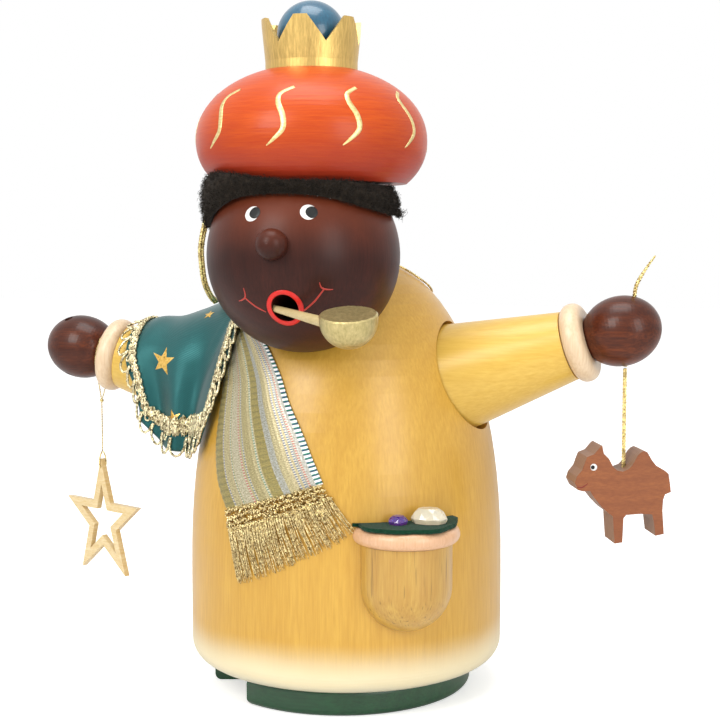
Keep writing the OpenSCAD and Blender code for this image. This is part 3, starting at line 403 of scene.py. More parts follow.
def plush():
    m = Mat("dark_plush", rough=0.9, sheen=0.05, spec=0.15)
    n = m.noise(m.obj(), 420, 4, 0.6)
    m.color(m.ramp(n, [(0.30, (0.008, 0.006, 0.004)), (0.60, (0.026, 0.019, 0.013)),
                       (0.80, (0.060, 0.045, 0.031))]))
    m.bump(n, 0.5, 0.0006)
    return m.m


def felt():
    m = Mat("green_felt", rough=0.95, sheen=0.1, spec=0.1)
    n = m.noise(m.obj(), 1500, 4, 0.7)
    m.color(m.ramp(n, [(0.3, (0.002, 0.020, 0.010)), (0.7, (0.006, 0.060, 0.028))]))
    m.bump(n, 0.9, 0.0005)
    return m.m


# the scarf's weave: width in mm, its parts as shares of that, bars to the mm along it
SCARF_WIDTH = 40.0
BAND_A_TO, BAND_B_FROM, BAND_B_TO, EDGE_FROM = 0.115, 0.535, 0.635, 0.94
BAND_BARS, EDGE_BARS = 0.420, 0.550


def brocade():
    """Woven stripes across the scarf: u runs across, v along, both in metres."""
    m = Mat("striped_brocade", rough=0.36, metal=0.45, sheen=0.1)
    u, v = m.xyz(m.coord.outputs["UV"])[:2]
    t = m.math("DIVIDE", u, SCARF_WIDTH * MM)
    gold, cream, silver = (0.42, 0.34, 0.11), (0.62, 0.53, 0.30), (0.48, 0.49, 0.46)
    stops = [(0.0, gold), (BAND_A_TO, cream), (0.235, (0.68, 0.62, 0.45)), (0.33, cream),
             (0.40, (0.52, 0.44, 0.22)), (0.47, cream), (BAND_B_FROM, gold), (BAND_B_TO, silver),
             (0.70, cream), (0.76, (0.68, 0.58, 0.35)), (0.84, silver), (0.90, (0.66, 0.66, 0.63))]
    base = m.ramp(t, stops, "CONSTANT")
    weave = m.noise(m.obj((900, 1600, 1), uv=True), 1.6, 2, 0.7)
    base = m.mix(m.ramp(weave, [(0.35, 0.8), (0.68, 0)]), base, (0.15, 0.13, 0.05))
    # dotted lines: dots on white; their colour changes across the scarf
    starts = (0.118, 0.212, 0.335, 0.378, 0.505, 0.80, 0.842, 0.878)
    ends = (0.134, 0.228, 0.352, 0.394, 0.522, 0.818, 0.860, 0.895)
    on = m.ramp(t, [(0, 0)] + [stop for a, b in zip(starts, ends) for stop in ((a, 1), (b, 0))], "CONSTANT")
    dot = m.math("LESS_THAN", m.math("FRACT", m.math("MULTIPLY", v, 1000.0)), 0.55)
    tint = m.ramp(m.math("FRACT", m.math("MULTIPLY", t, 7.3)),
                  [(0.0, (0.02, 0.08, 0.20)), (0.3, (0.40, 0.05, 0.05)), (0.6, (0.02, 0.20, 0.10)),
                   (0.8, (0.03, 0.06, 0.16))], "CONSTANT")
    line = m.mix(m.math("MULTIPLY", dot, 0.8), (0.60, 0.56, 0.44), tint)
    base = m.mix(on, base, line)
    # the right edge: white and dark bars
    bars = m.math("LESS_THAN", m.math("FRACT", m.math("MULTIPLY", v, EDGE_BARS / MM)), 0.5)
    edge = m.mix(bars, (0.88, 0.87, 0.84), m.mix(dot, (0.03, 0.06, 0.14), (0.02, 0.16, 0.10)))
    base = m.mix(m.math("GREATER_THAN", t, EDGE_FROM), base, edge)
    # the two gold bands: bars across
    pitch = m.math("FRACT", m.math("MULTIPLY", v, BAND_BARS / MM))
    gap = m.ramp(pitch, [(0.0, 0.6), (0.3, 0), (0.8, 0), (1.0, 0.6)])
    band = m.ramp(t, [(0.0, 1), (BAND_A_TO, 0), (BAND_B_FROM, 1), (BAND_B_TO, 0)], "CONSTANT")
    base = m.mix(m.math("MULTIPLY", gap, band), base, (0.16, 0.14, 0.05))
    m.color(base)
    m.bump(m.math("ADD", weave, m.math("MULTIPLY", dot, on)), 0.5, 0.00015)
    return m.m


def stone(name, tint, ior=1.7, trans=0.75):
    m = Mat(name, rough=0.03, ior=ior, transmission=trans)
    n = m.noise(m.obj(), 120, 2)
    m.color(m.mix(m.math("MULTIPLY", n, 0.3), tint, tuple(t * 0.6 for t in tint)))
    return m.m


mat_satin, mat_foil, mat_plush, mat_felt, mat_brocade = satin(), foil(), plush(), felt(), brocade()
mat_camel = camel_wood()


def assign(node, mat):
    ob = NODES[node]
    ob.data.materials.clear()
    ob.data.materials.append(mat)


for nodes, mat in (
        ("foot_base", green), ("base_plug neck_dowels turban_dowel cuff_left cuff_right", pale),
        ("arm_dowel_left arm_dowel_right wrist_dowel_left wrist_dowel_right", pale),
        ("ember_tray tray_nail", steel), ("body_shell", yellow), ("head nose", brown),
        ("pipe_stem", stem_wood), ("pipe_bowl", gold_bowl), ("turban", red), ("crown", gold_crown),
        ("crown_ball", blue), ("sleeve_left sleeve_right", yellow_arm), ("hand_left hand_right", brown_hand),
        ("pocket_pouch", pouch_wood), ("pocket_rim", rim_wood), ("camel", mat_camel), ("star", star_wood)):
    for node in nodes.split():
        assign(node, mat)


# ---- mesh tools

class Bag:
    """Collects vertices and faces in millimetres and makes one object of them."""

    def __init__(self):
        self.v, self.f, self.uv = [], [], {}

    def add(self, verts, faces, uvs=None):
        n = len(self.v)
        self.v += [tuple(p) for p in verts]
        self.f += [tuple(n + i for i in f) for f in faces]
        if uvs:
            for i, q in enumerate(uvs):
                self.uv[n + i] = q

    def make(self, name, mat, slot, replaces=(), body="figure", smooth=True):
        me = bpy.data.meshes.new(name)
        me.from_pydata([(x * MM, y * MM, z * MM) for x, y, z in self.v], [], self.f)
        me.validate()
        if self.uv:
            layer = me.uv_layers.new(name="UVMap")
            for loop in me.loops:
                layer.data[loop.index].uv = self.uv.get(loop.vertex_index, (0, 0))
        me.polygons.foreach_set("use_smooth", [smooth] * len(me.polygons))
        me.materials.append(mat)
        ob = add_object(name, me)
        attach(ob, body)
        if replaces:
            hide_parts(*replaces)
        return ob


def cr(p0, p1, p2, p3, t):
    return 0.5 * (2 * p1 + (p2 - p0) * t + (2 * p0 - 5 * p1 + 4 * p2 - p3) * t * t
                  + (3 * p1 - p0 - 3 * p2 + p3) * t ** 3)


def smooth(pts, n):
    """Smooth open curve through points, n steps a stretch."""
    p = [Vector(q) for q in pts]
    m = len(p) - 1
    out = [cr(p[max(i - 1, 0)], p[i], p[i + 1], p[min(i + 2, m)], k / n) for i in range(m) for k in range(n)]
    return out + [p[m]]


def along(v, t):
    m = len(v) - 1
    x = min(max(t, 0), 1) * m
    i = min(int(x), m - 1)
    return cr(v[max(i - 1, 0)], v[i], v[i + 1], v[min(i + 2, m)], x - i)


def frames(pts):
    """Two directions square to the route at each point, carried along without twist."""
    m = len(pts)
    dirs = [(pts[min(i + 1, m - 1)] - pts[max(i - 1, 0)]).normalized() for i in range(m)]
    a = dirs[0].orthogonal().normalized()
    out = []
    for d in dirs:
        a = (a - d * a.dot(d)).normalized()
        out.append((a, d.cross(a)))
    return out


def skin(rings, k, wrap=False):
    """Faces between rings of k points each; wrap also joins the last ring to the first."""
    return [(i * k + j, i * k + (j + 1) % k, (i + 1) % rings * k + (j + 1) % k, (i + 1) % rings * k + j)
            for i in range(rings if wrap else rings - 1) for j in range(k)]


def fan(k, rings):
    """Faces of a disc: a centre point, then rings of k points from inside to outside."""
    ring_faces = [(1 + i * k + j, 1 + (i + 1) * k + j, 1 + (i + 1) * k + (j + 1) % k, 1 + i * k + (j + 1) % k)
                  for i in range(rings - 1) for j in range(k)]
    return [(0, 1 + j, 1 + (j + 1) % k) for j in range(k)] + ring_faces


def flatten(rows):
    return [p for row in rows for p in row]


def tube(bag, pts, radius, sides=6):
    """Closed tube along points; radius is a number or one for each point."""
    pts = [Vector(p) for p in pts]
    m = len(pts)
    r = radius if isinstance(radius, (list, tuple)) else [radius] * m
    turns = [2 * pi * k / sides for k in range(sides)]
    verts = [pts[i] + r[i] * (cos(t) * a + sin(t) * b) for i, (a, b) in enumerate(frames(pts))
             for t in turns]
    ends = [tuple(range(sides - 1, -1, -1)), tuple((m - 1) * sides + k for k in range(sides))]
    bag.add(verts, skin(m, sides) + ends)


def resample(pts, step):
    """Points at even distances along a route."""
    pts = [Vector(p) for p in pts]
    out, need = [pts[0].copy()], step
    for a, b in zip(pts, pts[1:]):
        seg = (b - a).length
        pos = 0.0
        while seg - pos >= need:
            pos += need
            out.append(a.lerp(b, pos / seg))
            need = step
        need -= seg - pos
    if (out[-1] - pts[-1]).length > step * 0.3:
        out.append(pts[-1].copy())
    return out


def plait(bag, route, width, depth, pitch, strands=3, sides=6, seed=0, fray=0.0):
    """Strands of yarn laid over and under each other along a route."""
    pts = resample(route, pitch / 12)
    fr = frames(pts)
    r = width * 0.23
    rnd = random.Random(seed)
    for s in range(strands):
        out, rr = [], []
        for i, p in enumerate(pts):
            q = i * (pitch / 12)
            ph = 2 * pi * (q / pitch + s / strands)
            x = (width / 2 - r) * sin(ph)
            y = (depth / 2 - r * 0.8) * sin(2 * ph)
            t = i / (len(pts) - 1)
            k = 1 - fray * max(0, t - 0.75) * 4 * 0.75
            a, b = fr[i]
            out.append(p + a * x * k + b * y * k)
            rr.append(r * (1 + 0.12 * sin(q * 9 + s + rnd.random() * 0.4)) * k)
        tube(bag, out, rr, sides)


def closed_sheet(bag, top, bottom, nu, nv, uvs=None):
    """Thin closed cloth between two grids of points."""
    n = nu * nv
    up = [(i * nv + j, i * nv + j + 1, (i + 1) * nv + j + 1, (i + 1) * nv + j) for i in range(nu - 1)
          for j in range(nv - 1)]
    down = [tuple(n + q for q in reversed(f)) for f in up]
    rim = list(range(nv)) + [i * nv + nv - 1 for i in range(1, nu)] \
        + [(nu - 1) * nv + j for j in range(nv - 2, -1, -1)] + [i * nv for i in range(nu - 2, 0, -1)]
    wall = [(a, a + n, b + n, b) for a, b in zip(rim, rim[1:] + rim[:1])]
    bag.add(list(top) + list(bottom), up + down + wall, (uvs + uvs) if uvs else None)


# ---- the object's own shapes (mm)

BODY_R, BELLY_Z, TOP_Z, FULL = 61.7, 45.0, 170.0, 2.3
HEAD_FWD = 48.6
HEAD = Vector((0, -HEAD_FWD, 170.0))
HEAD_R = 35.0
TURBAN_Y, TURBAN_R, TURBAN_Z = -39.5, 42.2, 211.5    # its axis, and its widest ring
TURBAN_SEAT_Z, HAIR_GAP, HAIR_BACK = 196.0, 0.8, 0.6
RISE_R, FWD, SEAT_R, SEAT_Z = 11.4, 3.0, 47.8, 117.5    # right arm: angles up and forward, its seat
SLEEVE_LEN, SLEEVE_R1, SLEEVE_R2, CUFF_W = 49, 21.5, 13, 8
HAND_LEN, HAND_R, HAND_DIP, THREAD_OUT, THREAD_D = 29.8, 13, 3.2, 1.1, 0.6
STAR = Vector((-105.8, -5.8, 0))    # the line the star hangs on


def body_rad(z):
    if z <= BELLY_Z:
        return BODY_R
    if z >= TOP_Z:
        return 0.0
    return BODY_R * (1 - ((z - BELLY_Z) / (TOP_Z - BELLY_Z)) ** FULL) ** (1 / FULL)


def body_height(r):
    if r >= BODY_R:
        return BELLY_Z
    return BELLY_Z + (TOP_Z - BELLY_Z) * (1 - (max(r, 0) / BODY_R) ** FULL) ** (1 / FULL)


def polar(r, az, z):
    """Point at distance r from the figure's axis, az degrees from the front to its left."""
    return Vector((r * sind(az), -r * cosd(az), z))


def on_body(az, z, off=0.0):
    return polar(body_rad(z) + off, az, z)


def turban_rad(z):
    if z > TURBAN_Z:
        return TURBAN_R * (1 - min(1, (z - TURBAN_Z) / 27.5) ** 2.05) ** (1 / 2.05)
    return TURBAN_R * (1 - min(1, (TURBAN_Z - z) / 25) ** 2.2) ** (1 / 2.2)


def on_turban(az, z, off=0.0):
    r = turban_rad(z)
    e = 0.05
    slope = (turban_rad(z + e) - turban_rad(z - e)) / (2 * e)
    n = Vector((1, 0, -slope)).normalized()
    return Vector(((r + off * n.x) * sind(az), TURBAN_Y - (r + off * n.x) * cosd(az), z + off * n.z))


def on_head(az, z, off=0.0):
    rr = sqrt(max(HEAD_R ** 2 - (z - HEAD.z) ** 2, 0))
    d = Vector((rr * sind(az), -rr * cosd(az), z - HEAD.z)).normalized()
    return HEAD + d * (HEAD_R + off)


# ---- cords

EAR_ROUTE = [(-38, -45, 187), (-41.8, -42, 181), (-44.8, -39, 173), (-46.6, -34.5, 166.4),
             (-48.5, -28, 159.4), (-49.8, -20, 154), (-50.4, -13, 151)]
CAMEL_ROUTE = [(110.5, -6, 128.4), (110.5, -6, 122), (110.5, -6, 115), (110.5, -6, 108), (110.5, -6, 100),
               (110.5, -6, 88.8)]
TAIL_ROUTE = [(110.6, -6, 129.2), (111.8, -6, 140), (113.4, -6, 154), (114, -6, 158.5), (115.6, -6.1, 162),
              (118.4, -6.3, 166.5), (120.9, -6.5, 170)]
TIE_ROUTE = [(68, 17), (80, 20.5), (88, 24.5), (94, 28.5), (105, 32.5), (125, 35.5), (150, 36.5), (180, 36),
             (210, 35.5), (235, 35), (249, 34.6)]


def plaited(node, body, path, look):
    """A plait along a path in place of the CAD cord."""
    bag = Bag()
    plait(bag, path, **look)
    bag.make(node + "_plait", cord_thread, "gold_thread", [node], body)


tie_route = [polar(r, a, body_height(r) + 1.0) for a, r in TIE_ROUTE]
camel_look = {"width": 1.7, "depth": 1.1, "pitch": 3.6}
plaited("ear_cord", "figure", smooth(EAR_ROUTE, 6),
        {"width": 2.4, "depth": 2.1, "pitch": 4.6, "strands": 4, "sides": 7})
plaited("camel_cord", "camel_cord", smooth(CAMEL_ROUTE, 4), camel_look)
plaited("camel_cord_tail", "figure", smooth(TAIL_ROUTE, 5), {**camel_look, "fray": 0.7, "seed": 4})
plaited("cape_tie", "figure", smooth(tie_route, 8),
        {"width": 0.85, "depth": 0.8, "pitch": 2.4, "sides": 5})


def star_thread_route():
    """Loop over the right wrist and the thread that hangs from it, as in the source."""
    d = Vector((-cosd(RISE_R) * cosd(FWD), -cosd(RISE_R) * sind(FWD), sind(RISE_R)))
    root = SEAT_Z - SEAT_R * sind(RISE_R)
    c = Vector((0, 0, root)) + (SEAT_R + SLEEVE_LEN + CUFF_W + THREAD_OUT) * d
    q = HAND_DIP + THREAD_OUT + 0.1
    r = HAND_R * sqrt(1 - (1 - 2 * q / HAND_LEN) ** 2) + THREAD_D / 2 + 0.12
    up = (Vector((0, 0, 1)) - d.z * d).normalized()
    fore = up.cross(d)
    knot = STAR + Vector((0, 0, 109.3))
    a0 = degrees(asin(r / (knot - c).length))
    ring = [c + r * (cosd(a) * fore + sind(a) * up)
            for a in (-a0 + (180 + 2 * a0) * k / 32 for k in range(33))]
    y0 = 0.36 if fore.y > 0 else -0.36

    def leg(p, y):
        return [p + t * (knot + Vector((0, y, 0)) - p) for t in (0.3, 0.65)]
    first = leg(ring[0], 0)
    return [STAR + Vector((0, 0, z)) for z in (87.3, 95, 103, 108.3)] + [first[1], first[0]] + ring \
        + leg(ring[-1], -y0) + [knot - Vector((0, y0, 0))]


bag = Bag()
thread_path = star_thread_route()
plait(bag, thread_path, 0.62, 0.6, 2.0, strands=2, sides=6)
# the knot where the loop closes
tube(bag, [STAR + Vector((0.55 * cosd(a), 0.55 * sind(a), 108.7 + 0.35 * sind(a * 1.5)))
           for a in range(0, 700, 30)], 0.26, 6)
star_thread = bag.make("star_thread_yarn", cord_thread, "gold_thread", ["star_thread"], "star_thread")

bag = Bag()
c = STAR + Vector((0, 0, 80.7))
w, rise = 1.6, 6.5
side = [(0.33, rise), (w * 0.8, rise * 0.7), (w, rise * 0.4), (w, 0.9), (w - 0.3, 0.3)]
loop = side + [(w * 0.5, 0), (-w * 0.5, 0)] + [(-a, b) for a, b in reversed(side)]
u = Vector((-sind(-27), cosd(-27), 0))
eye_path = smooth([c + u * a + Vector((0, 0, b)) for a, b in loop], 4)
tube(bag, eye_path, 0.3, 8)
bag.make("star_eye_yarn", cord_thread, "gold_thread", ["star_eye"], "star")


# ---- cape

CUFF_EDGE = [87, 87, 87, 86, 82.5, 79.5, 78]
NECK_EDGE = [34, 33, 33, 33.5, 35.5, 39, 45]
RIDGE = [157, 153.5, 149.5, 146, 143.2, 142.8, 140]
DROP = [51, 57, 63, 67, 70, 72, 70]


def arm_y(s):
    return -s * cosd(RISE_R) * sind(FWD)


def cape_support(x):
    s = x / cosd(RISE_R)
    t = min(max((x - 38) / 34, 0), 1)
    k = t * t * (3 - 2 * t)
    taper = (SLEEVE_R1 - SLEEVE_R2) * (max(s, SEAT_R) - SEAT_R) / SLEEVE_LEN
    sleeve = (SLEEVE_R1 - taper) / cosd(RISE_R)
    r = 25 + (sleeve + 0.3 - 25) * k
    return r, arm_y(s) * k, along(RIDGE, (x - 33) / 54) - r


def soft_max(a, b, k):
    return (a + b + sqrt((a - b) ** 2 + k * k)) / 2


def cape_point(u, w, off):
    x = along(CUFF_EDGE, abs(w)) * (1 - u) + along(NECK_EDGE, abs(w)) * u
    r, cy, cz = cape_support(x)
    rr = r + 0.7 + off
    l = abs(w) * along(DROP, u)
    over = min(l / rr * 180 / pi, 84)
    hang = max(0, l - rr * 84 * pi / 180)
    side = -1 if w < 0 else 1
    fold = 1.6 * sind(900 * u + 60 * side) * min(1, l / 45) ** 2
    zz = cz + rr * cosd(over) - hang * 0.985
    out = rr * sind(over) + hang * 0.10 + fold * min(1, over / 60)
    front = (-cy if side > 0 else cy) + out
    rb = body_rad(zz) + 0.8 + 1.05 + 0.8 + off
    wall = sqrt(rb * rb - x * x) if x < rb else 0
    y = front if zz > body_height(x) + 2 else soft_max(front, wall, 2)
    return Vector((-x, cy - side * rr * sind(over) if over < 20 else -side * y, zz))


nu, nv = 73, 141
outer, inner, uvs = [], [], []
for i in range(nu):
    for j in range(nv):
        a, b = i / (nu - 1), 2 * j / (nv - 1) - 1
        crease = 0.22 * sin(a * 21 + b * 5) * sin(b * 9 - a * 4) * min(1, abs(b) * 2)
        outer.append(cape_point(a, b, 0.75 + crease * 0.5 + 0.11))
        inner.append(cape_point(a, b, 0.35 + crease * 0.5))
        uvs.append((a * 0.052, b * 0.066))
bag = Bag()
closed_sheet(bag, inner, outer, nu, nv, uvs)
cape = bag.make("cape_satin", mat_satin, "satin", ["cape"])


def cape_mark(bag, u0, w0, r, turn, inner=0.40, off=1.02):
    """Five-pointed star printed on the cloth."""
    e = 0.004
    p = cape_point(u0, w0, off)
    pu = (cape_point(u0 + e, w0, off) - p) / e
    pw = (cape_point(u0, w0 + e, off) - p) / e
    e1 = pu.normalized()
    e2 = (pw - e1 * pw.dot(e1)).normalized()
    corners, rings = 10, 6
    verts = [p]

    def place(x, y, o):
        a11, a12, a22 = pu.dot(pu), pu.dot(pw), pw.dot(pw)
        t = e1 * x + e2 * y
        b1, b2 = t.dot(pu), t.dot(pw)
        det = a11 * a22 - a12 * a12
        return cape_point(u0 + (b1 * a22 - b2 * a12) / det, w0 + (a11 * b2 - a12 * b1) / det, o)
    for ring in range(1, rings + 1):
        for k in range(corners):
            q = (r if k % 2 == 0 else r * inner) * ring / rings
            a = radians(36 * k + turn)
            verts.append(place(q * sin(a), -q * cos(a), off - (0.09 if ring == rings else 0)))
    bag.add(verts, fan(corners, rings))


bag = Bag()
for u0, w0, r, turn in ((0.33, 0.46, 6.0, 12), (0.42, 0.83, 3.8, -10), (0.64, 0.22, 2.6, 20),
                        (0.55, -0.30, 4.2, 40), (0.30, -0.62, 4.8, 5), (0.72, -0.70, 3.0, -20),
                        (0.14, -0.12, 2.8, 60)):
    cape_mark(bag, u0, w0, r, turn)
stars = bag.make("cape_stars", mat_foil, "gold_thread")

# crocheted edging: braided rows inside, picot loops outside
edge_uw = [(0.0, -0.9 + 1.8 * k / 60) for k in range(61)] + [(k / 40, 1.0) for k in range(1, 40)] \
    + [(1.0, 1 - 2 * k / 60) for k in range(61)] + [(1 - k / 40, -1.0) for k in range(1, 40)]
edge_pts = [cape_point(a, b, 1.2) for a, b in edge_uw]
edge_len = [0.0]
for p, q in zip(edge_pts, edge_pts[1:] + edge_pts[:1]):
    edge_len.append(edge_len[-1] + (q - p).length)
HEM = edge_len[-1]


def hem(s, t, lift):
    """Point at distance s along the hem, t from 0 at its edge to 1 at the lace's inner side."""
    s = s % HEM
    lo = bisect.bisect_right(edge_len, s, 0, len(edge_uw)) - 1
    f = (s - edge_len[lo]) / max(edge_len[lo + 1] - edge_len[lo], 1e-6)
    (a0, b0), (a1, b1) = edge_uw[lo], edge_uw[(lo + 1) % len(edge_uw)]
    a, b = a0 + (a1 - a0) * f, b0 + (b1 - b0) * f
    q0 = cape_point(0.5 + (a - 0.5) * (1 - 0.20 * max(t, 0)), b * (1 - 0.17 * max(t, 0)), 1.5 + lift)
    if t < 0:
        q1 = cape_point(0.5 + (a - 0.5) * 0.97, b * 0.97, 1.5 + lift)
        q0 = q0 + (q0 - q1).normalized() * (-t * 8)
    return q0


bag = Bag()
rnd = random.Random(11)
repeat = HEM / round(HEM / 6.6)
step = 0.42
count = int(HEM / step)
for s in range(5):
    pts, rr = [], []
    for k in range(count + 1):
        q = k * step
        ph = 2 * pi * (q / (repeat / 2) + s / 5)
        t = 0.66 + (0.30 if s < 3 else 0.16) * sin(ph)
        pts.append(hem(q, t, 0.25 + 0.42 * sin(2 * ph + s)))
        rr.append(0.42 * (1 + 0.28 * sin(q * 7.0 + s)))
    tube(bag, pts, rr, 5)
for k in range(round(HEM / repeat)):
    s0 = k * repeat
    pts = []
    for q in range(19):
        a = pi * q / 18
        lift = 0.15 + 0.1 * rnd.uniform(-1, 1)
        pts.append(hem(s0 + repeat / 2 - repeat * 0.47 * cos(a), 0.30 - 0.75 * sin(a) ** 0.8, lift))
    tube(bag, pts, [0.50 * (1 + 0.25 * sin(q * 2.3)) for q in range(19)], 5)
    if k % 2 == 0:
        tube(bag, [hem(s0 + repeat * (0.5 + 0.16 * cosd(a)), 0.30 + 0.16 * sind(a), 0.3)
                   for a in range(0, 380, 24)], 0.38, 5)
lace = bag.make("cape_lace", lace_thread, "gold_thread", ["cape_trim"])


# ---- scarf

L_AZ, L_Z = [-66, -52, -43, -40, -38, -34, -27], [140, 132, 122, 110, 98, 86, 75.5]
R_AZ, R_Z = [-33, -20, -10, -4, 2, 6.5, 10.5], [143, 136.5, 127, 117, 107, 97.5, 88.7]


def scarf_point(u, v, off):
    az = along(L_AZ, v) * (1 - u) + along(R_AZ, v) * u
    z = along(L_Z, v) * (1 - u) + along(R_Z, v) * u
    ripple = 0.35 * (1 + sind(u * 1080)) * (1 - 0.75 * v)
    return on_body(az, z, 0.35 + off + ripple)


nu, nv = 91, 260
top, low, uvs = [], [], []
run = [0.0]
for j in range(1, nv):
    run.append(run[-1] + (scarf_point(0.5, j / (nv - 1), 0) - scarf_point(0.5, (j - 1) / (nv - 1), 0)).length)
for i in range(nu):
    for j in range(nv):
        a, b = i / (nu - 1), j / (nv - 1)
        if a < BAND_A_TO or BAND_B_FROM < a < BAND_B_TO:
            rib = 0.16 * max(0, sin(run[j] * 2 * pi * BAND_BARS)) ** 0.7
        elif a > EDGE_FROM:
            rib = 0.12 * max(0, sin(run[j] * 2 * pi * EDGE_BARS))
        else:
            rib = 0.04 * sin(a * 150)
        top.append(scarf_point(a, b, 0.45 + rib))
        low.append(scarf_point(a, b, 0.0))
        uvs.append((a * SCARF_WIDTH * MM, run[j] * MM))
bag = Bag()
closed_sheet(bag, low, top, nu, nv, uvs)
scarf = bag.make("scarf_brocade", mat_brocade, "brocade", ["scarf"])


def fringe_at(u, drop, off):
    """Point of the fringe below the scarf's end; drop runs from 0 to 1."""
    az = L_AZ[-1] + (R_AZ[-1] - L_AZ[-1]) * u + drop * (5.5 + 6 * u * u)
    z = L_Z[-1] + (R_Z[-1] - L_Z[-1]) * u - 1.0 - drop * (25.5 - 9 * u * u)
    return on_body(az, z, 0.35 + off)


rnd = random.Random(5)
bag = Bag()
# knotted head of the fringe
knots = 34
for row in range(4):
    for k in range(knots):
        u0 = (k + 0.5 * (row % 2) + rnd.uniform(-0.2, 0.2)) / knots
        d0 = -0.03 + 0.085 * row + rnd.uniform(-0.018, 0.018)
        turn = rnd.uniform(0, 360)
        size = rnd.uniform(0.8, 1.25)
        pts = []
        for q in range(20):
            a = q * 24 + turn
            x = size * (cosd(a) + 0.55 * cosd(2 * a)) * 0.62
            y = size * (sind(a) - 0.55 * sind(2 * a)) * 0.62
            h = 0.85 + 0.4 * sind(3 * a)
            pts.append(fringe_at(min(max(u0 + x / 46, -0.01), 1.01), d0 + y / 26, h))
        tube(bag, pts, 0.27 * rnd.uniform(0.85, 1.15), 5)
# hanging threads
threads = 190
for k in range(threads):
    u0 = (k + rnd.uniform(0, 1)) / threads
    lean = rnd.uniform(-0.030, 0.030)
    end = 0.90 + rnd.uniform(0, 0.11)
    lift = rnd.uniform(0.1, 1.5)
    ph = rnd.uniform(0, 6.28)
    pts, rr = [], []
    for q in range(12):
        t = q / 11
        d = 0.20 + (end - 0.20) * t
        u = u0 + lean * t + 0.004 * sin(ph + t * 7)
        swell = lift * 0.6 * sin(pi * min(1, t * 0.8 + 0.1))
        pts.append(fringe_at(min(max(u, 0.0), 1.0), d, 0.22 + 0.45 * (1 - t) + swell))
        rr.append(0.19 * (1 - 0.45 * t) * (1 + 0.12 * sin(q * 2.2 + ph)))
    tube(bag, pts, rr, 4)
fringe = bag.make("scarf_fringe_threads", gold_thread, "gold_thread", ["scarf_fringe"])


# ---- plush hair

def hair_low(a):
    return 191.5 - 7 * abs(sind(a)) ** 3 - 3 * max(-sind(a), 0) ** 3 - 4 * max(-cosd(a), 0)


def hair_out(a):
    return 38.6 - 2.6 * sind(a) - 5.6 * max(cosd(a), 0) ** 3


def head_at(z):
    return sqrt(HEAD_R ** 2 - (z - HEAD.z) ** 2) + 0.4


def turban_low(r):
    return TURBAN_Z - 25 * (1 - min(1, r / TURBAN_R) ** 2.2) ** (1 / 2.2)


def hair_top(a, q):
    """Top of the plush at distance q from the head's axis, its gap below the turban."""
    reach = hypot(q * sind(a), HEAD_FWD + TURBAN_Y + q * cosd(a)) - HAIR_BACK
    return max(TURBAN_SEAT_Z, turban_low(min(40.6, reach))) - HAIR_GAP


def hair_ring(a):
    side = max(-sind(a), 0) ** 2
    z0, z1 = hair_low(a) - 1.6 * side, TURBAN_SEAT_Z - HAIR_GAP
    r = hair_out(a) - 2.0 - 2.6 * side
    top_r = head_at(z1)
    step = (r - 5 - top_r) / 3
    ring = [(head_at(z0 + 1), z0 + 1), (head_at(z0) + 1.6, z0), (r - 1.0, z0 + 2.4),
            (r, z0 + (hair_top(a, r) - z0) * 0.42), (r - 1.6, hair_top(a, r - 1.6) - 2.2),
            (r - 3.2, hair_top(a, r - 3.2) - 0.3)]
    ring += [(r - 5 - k * step, hair_top(a, r - 5 - k * step)) for k in range(3)]
    ring += [(top_r + 0.2, z1 - 0.1), (head_at((z0 + z1) / 2), (z0 + z1) / 2)]
    return [Vector((q * sind(a), -q * cosd(a) - HEAD_FWD, z)) for q, z in ring]


rnd = random.Random(3)
bag = Bag()
hair_rings = [hair_ring(2 * i) for i in range(180)]
bag.add(flatten(hair_rings), skin(180, len(hair_rings[0]), wrap=True))


def fibre(p, d, size, curl, turns, r=0.11, sides=3, steps=9):
    """One curled fibre of pile from p in direction d."""
    a = d.orthogonal().normalized()
    b = d.cross(a)
    ph = rnd.uniform(0, 6.28)
    shares = [q / (steps - 1) for q in range(steps)]
    pts = []
    for t in shares:
        ang = ph + turns * 2 * pi * t
        pts.append(p + d * size * t + (a * cos(ang) + b * sin(ang)) * (curl * min(1, t * 2.5)))
    tube(bag, pts, [r * (1 - 0.6 * t) for t in shares], sides)


for _ in range(5200):
    a = rnd.uniform(0, 360)
    ring = hair_ring(a)
    j = rnd.choice((1, 1, 2, 2, 3, 3, 4))
    p = ring[j].lerp(ring[j + 1], rnd.random())
    out = Vector((sind(a), -cosd(a), (-0.55, -0.25, 0.15, 0.55)[j - 1]))
    d = (out + Vector([rnd.uniform(-0.5, 0.5) for _ in range(3)])).normalized()
    tuft = 0.9 * max(0, sin(a * 0.37 + 1.3 * j) * sin(a * 0.91 + j))
    fibre(p - d * 0.5, d, rnd.uniform(1.1, 2.1) + tuft, rnd.uniform(0.25, 0.6), rnd.uniform(0.8, 1.8))
# loose wisps at the right-hand cheek of the picture
for _ in range(46):
    a = rnd.gauss(98, 7)
    ring = hair_ring(a)
    d = Vector((sind(a) * 0.9, -cosd(a) * 0.4 - 0.1, -0.7 + rnd.uniform(-0.4, 0.6))).normalized()
    fibre(ring[2] - d, d, rnd.uniform(3.0, 6.5), rnd.uniform(0.5, 1.1), rnd.uniform(1.5, 3.0), 0.13, 4, 18)
bag.make("plush_hair", mat_plush, "plush", ["hair"])

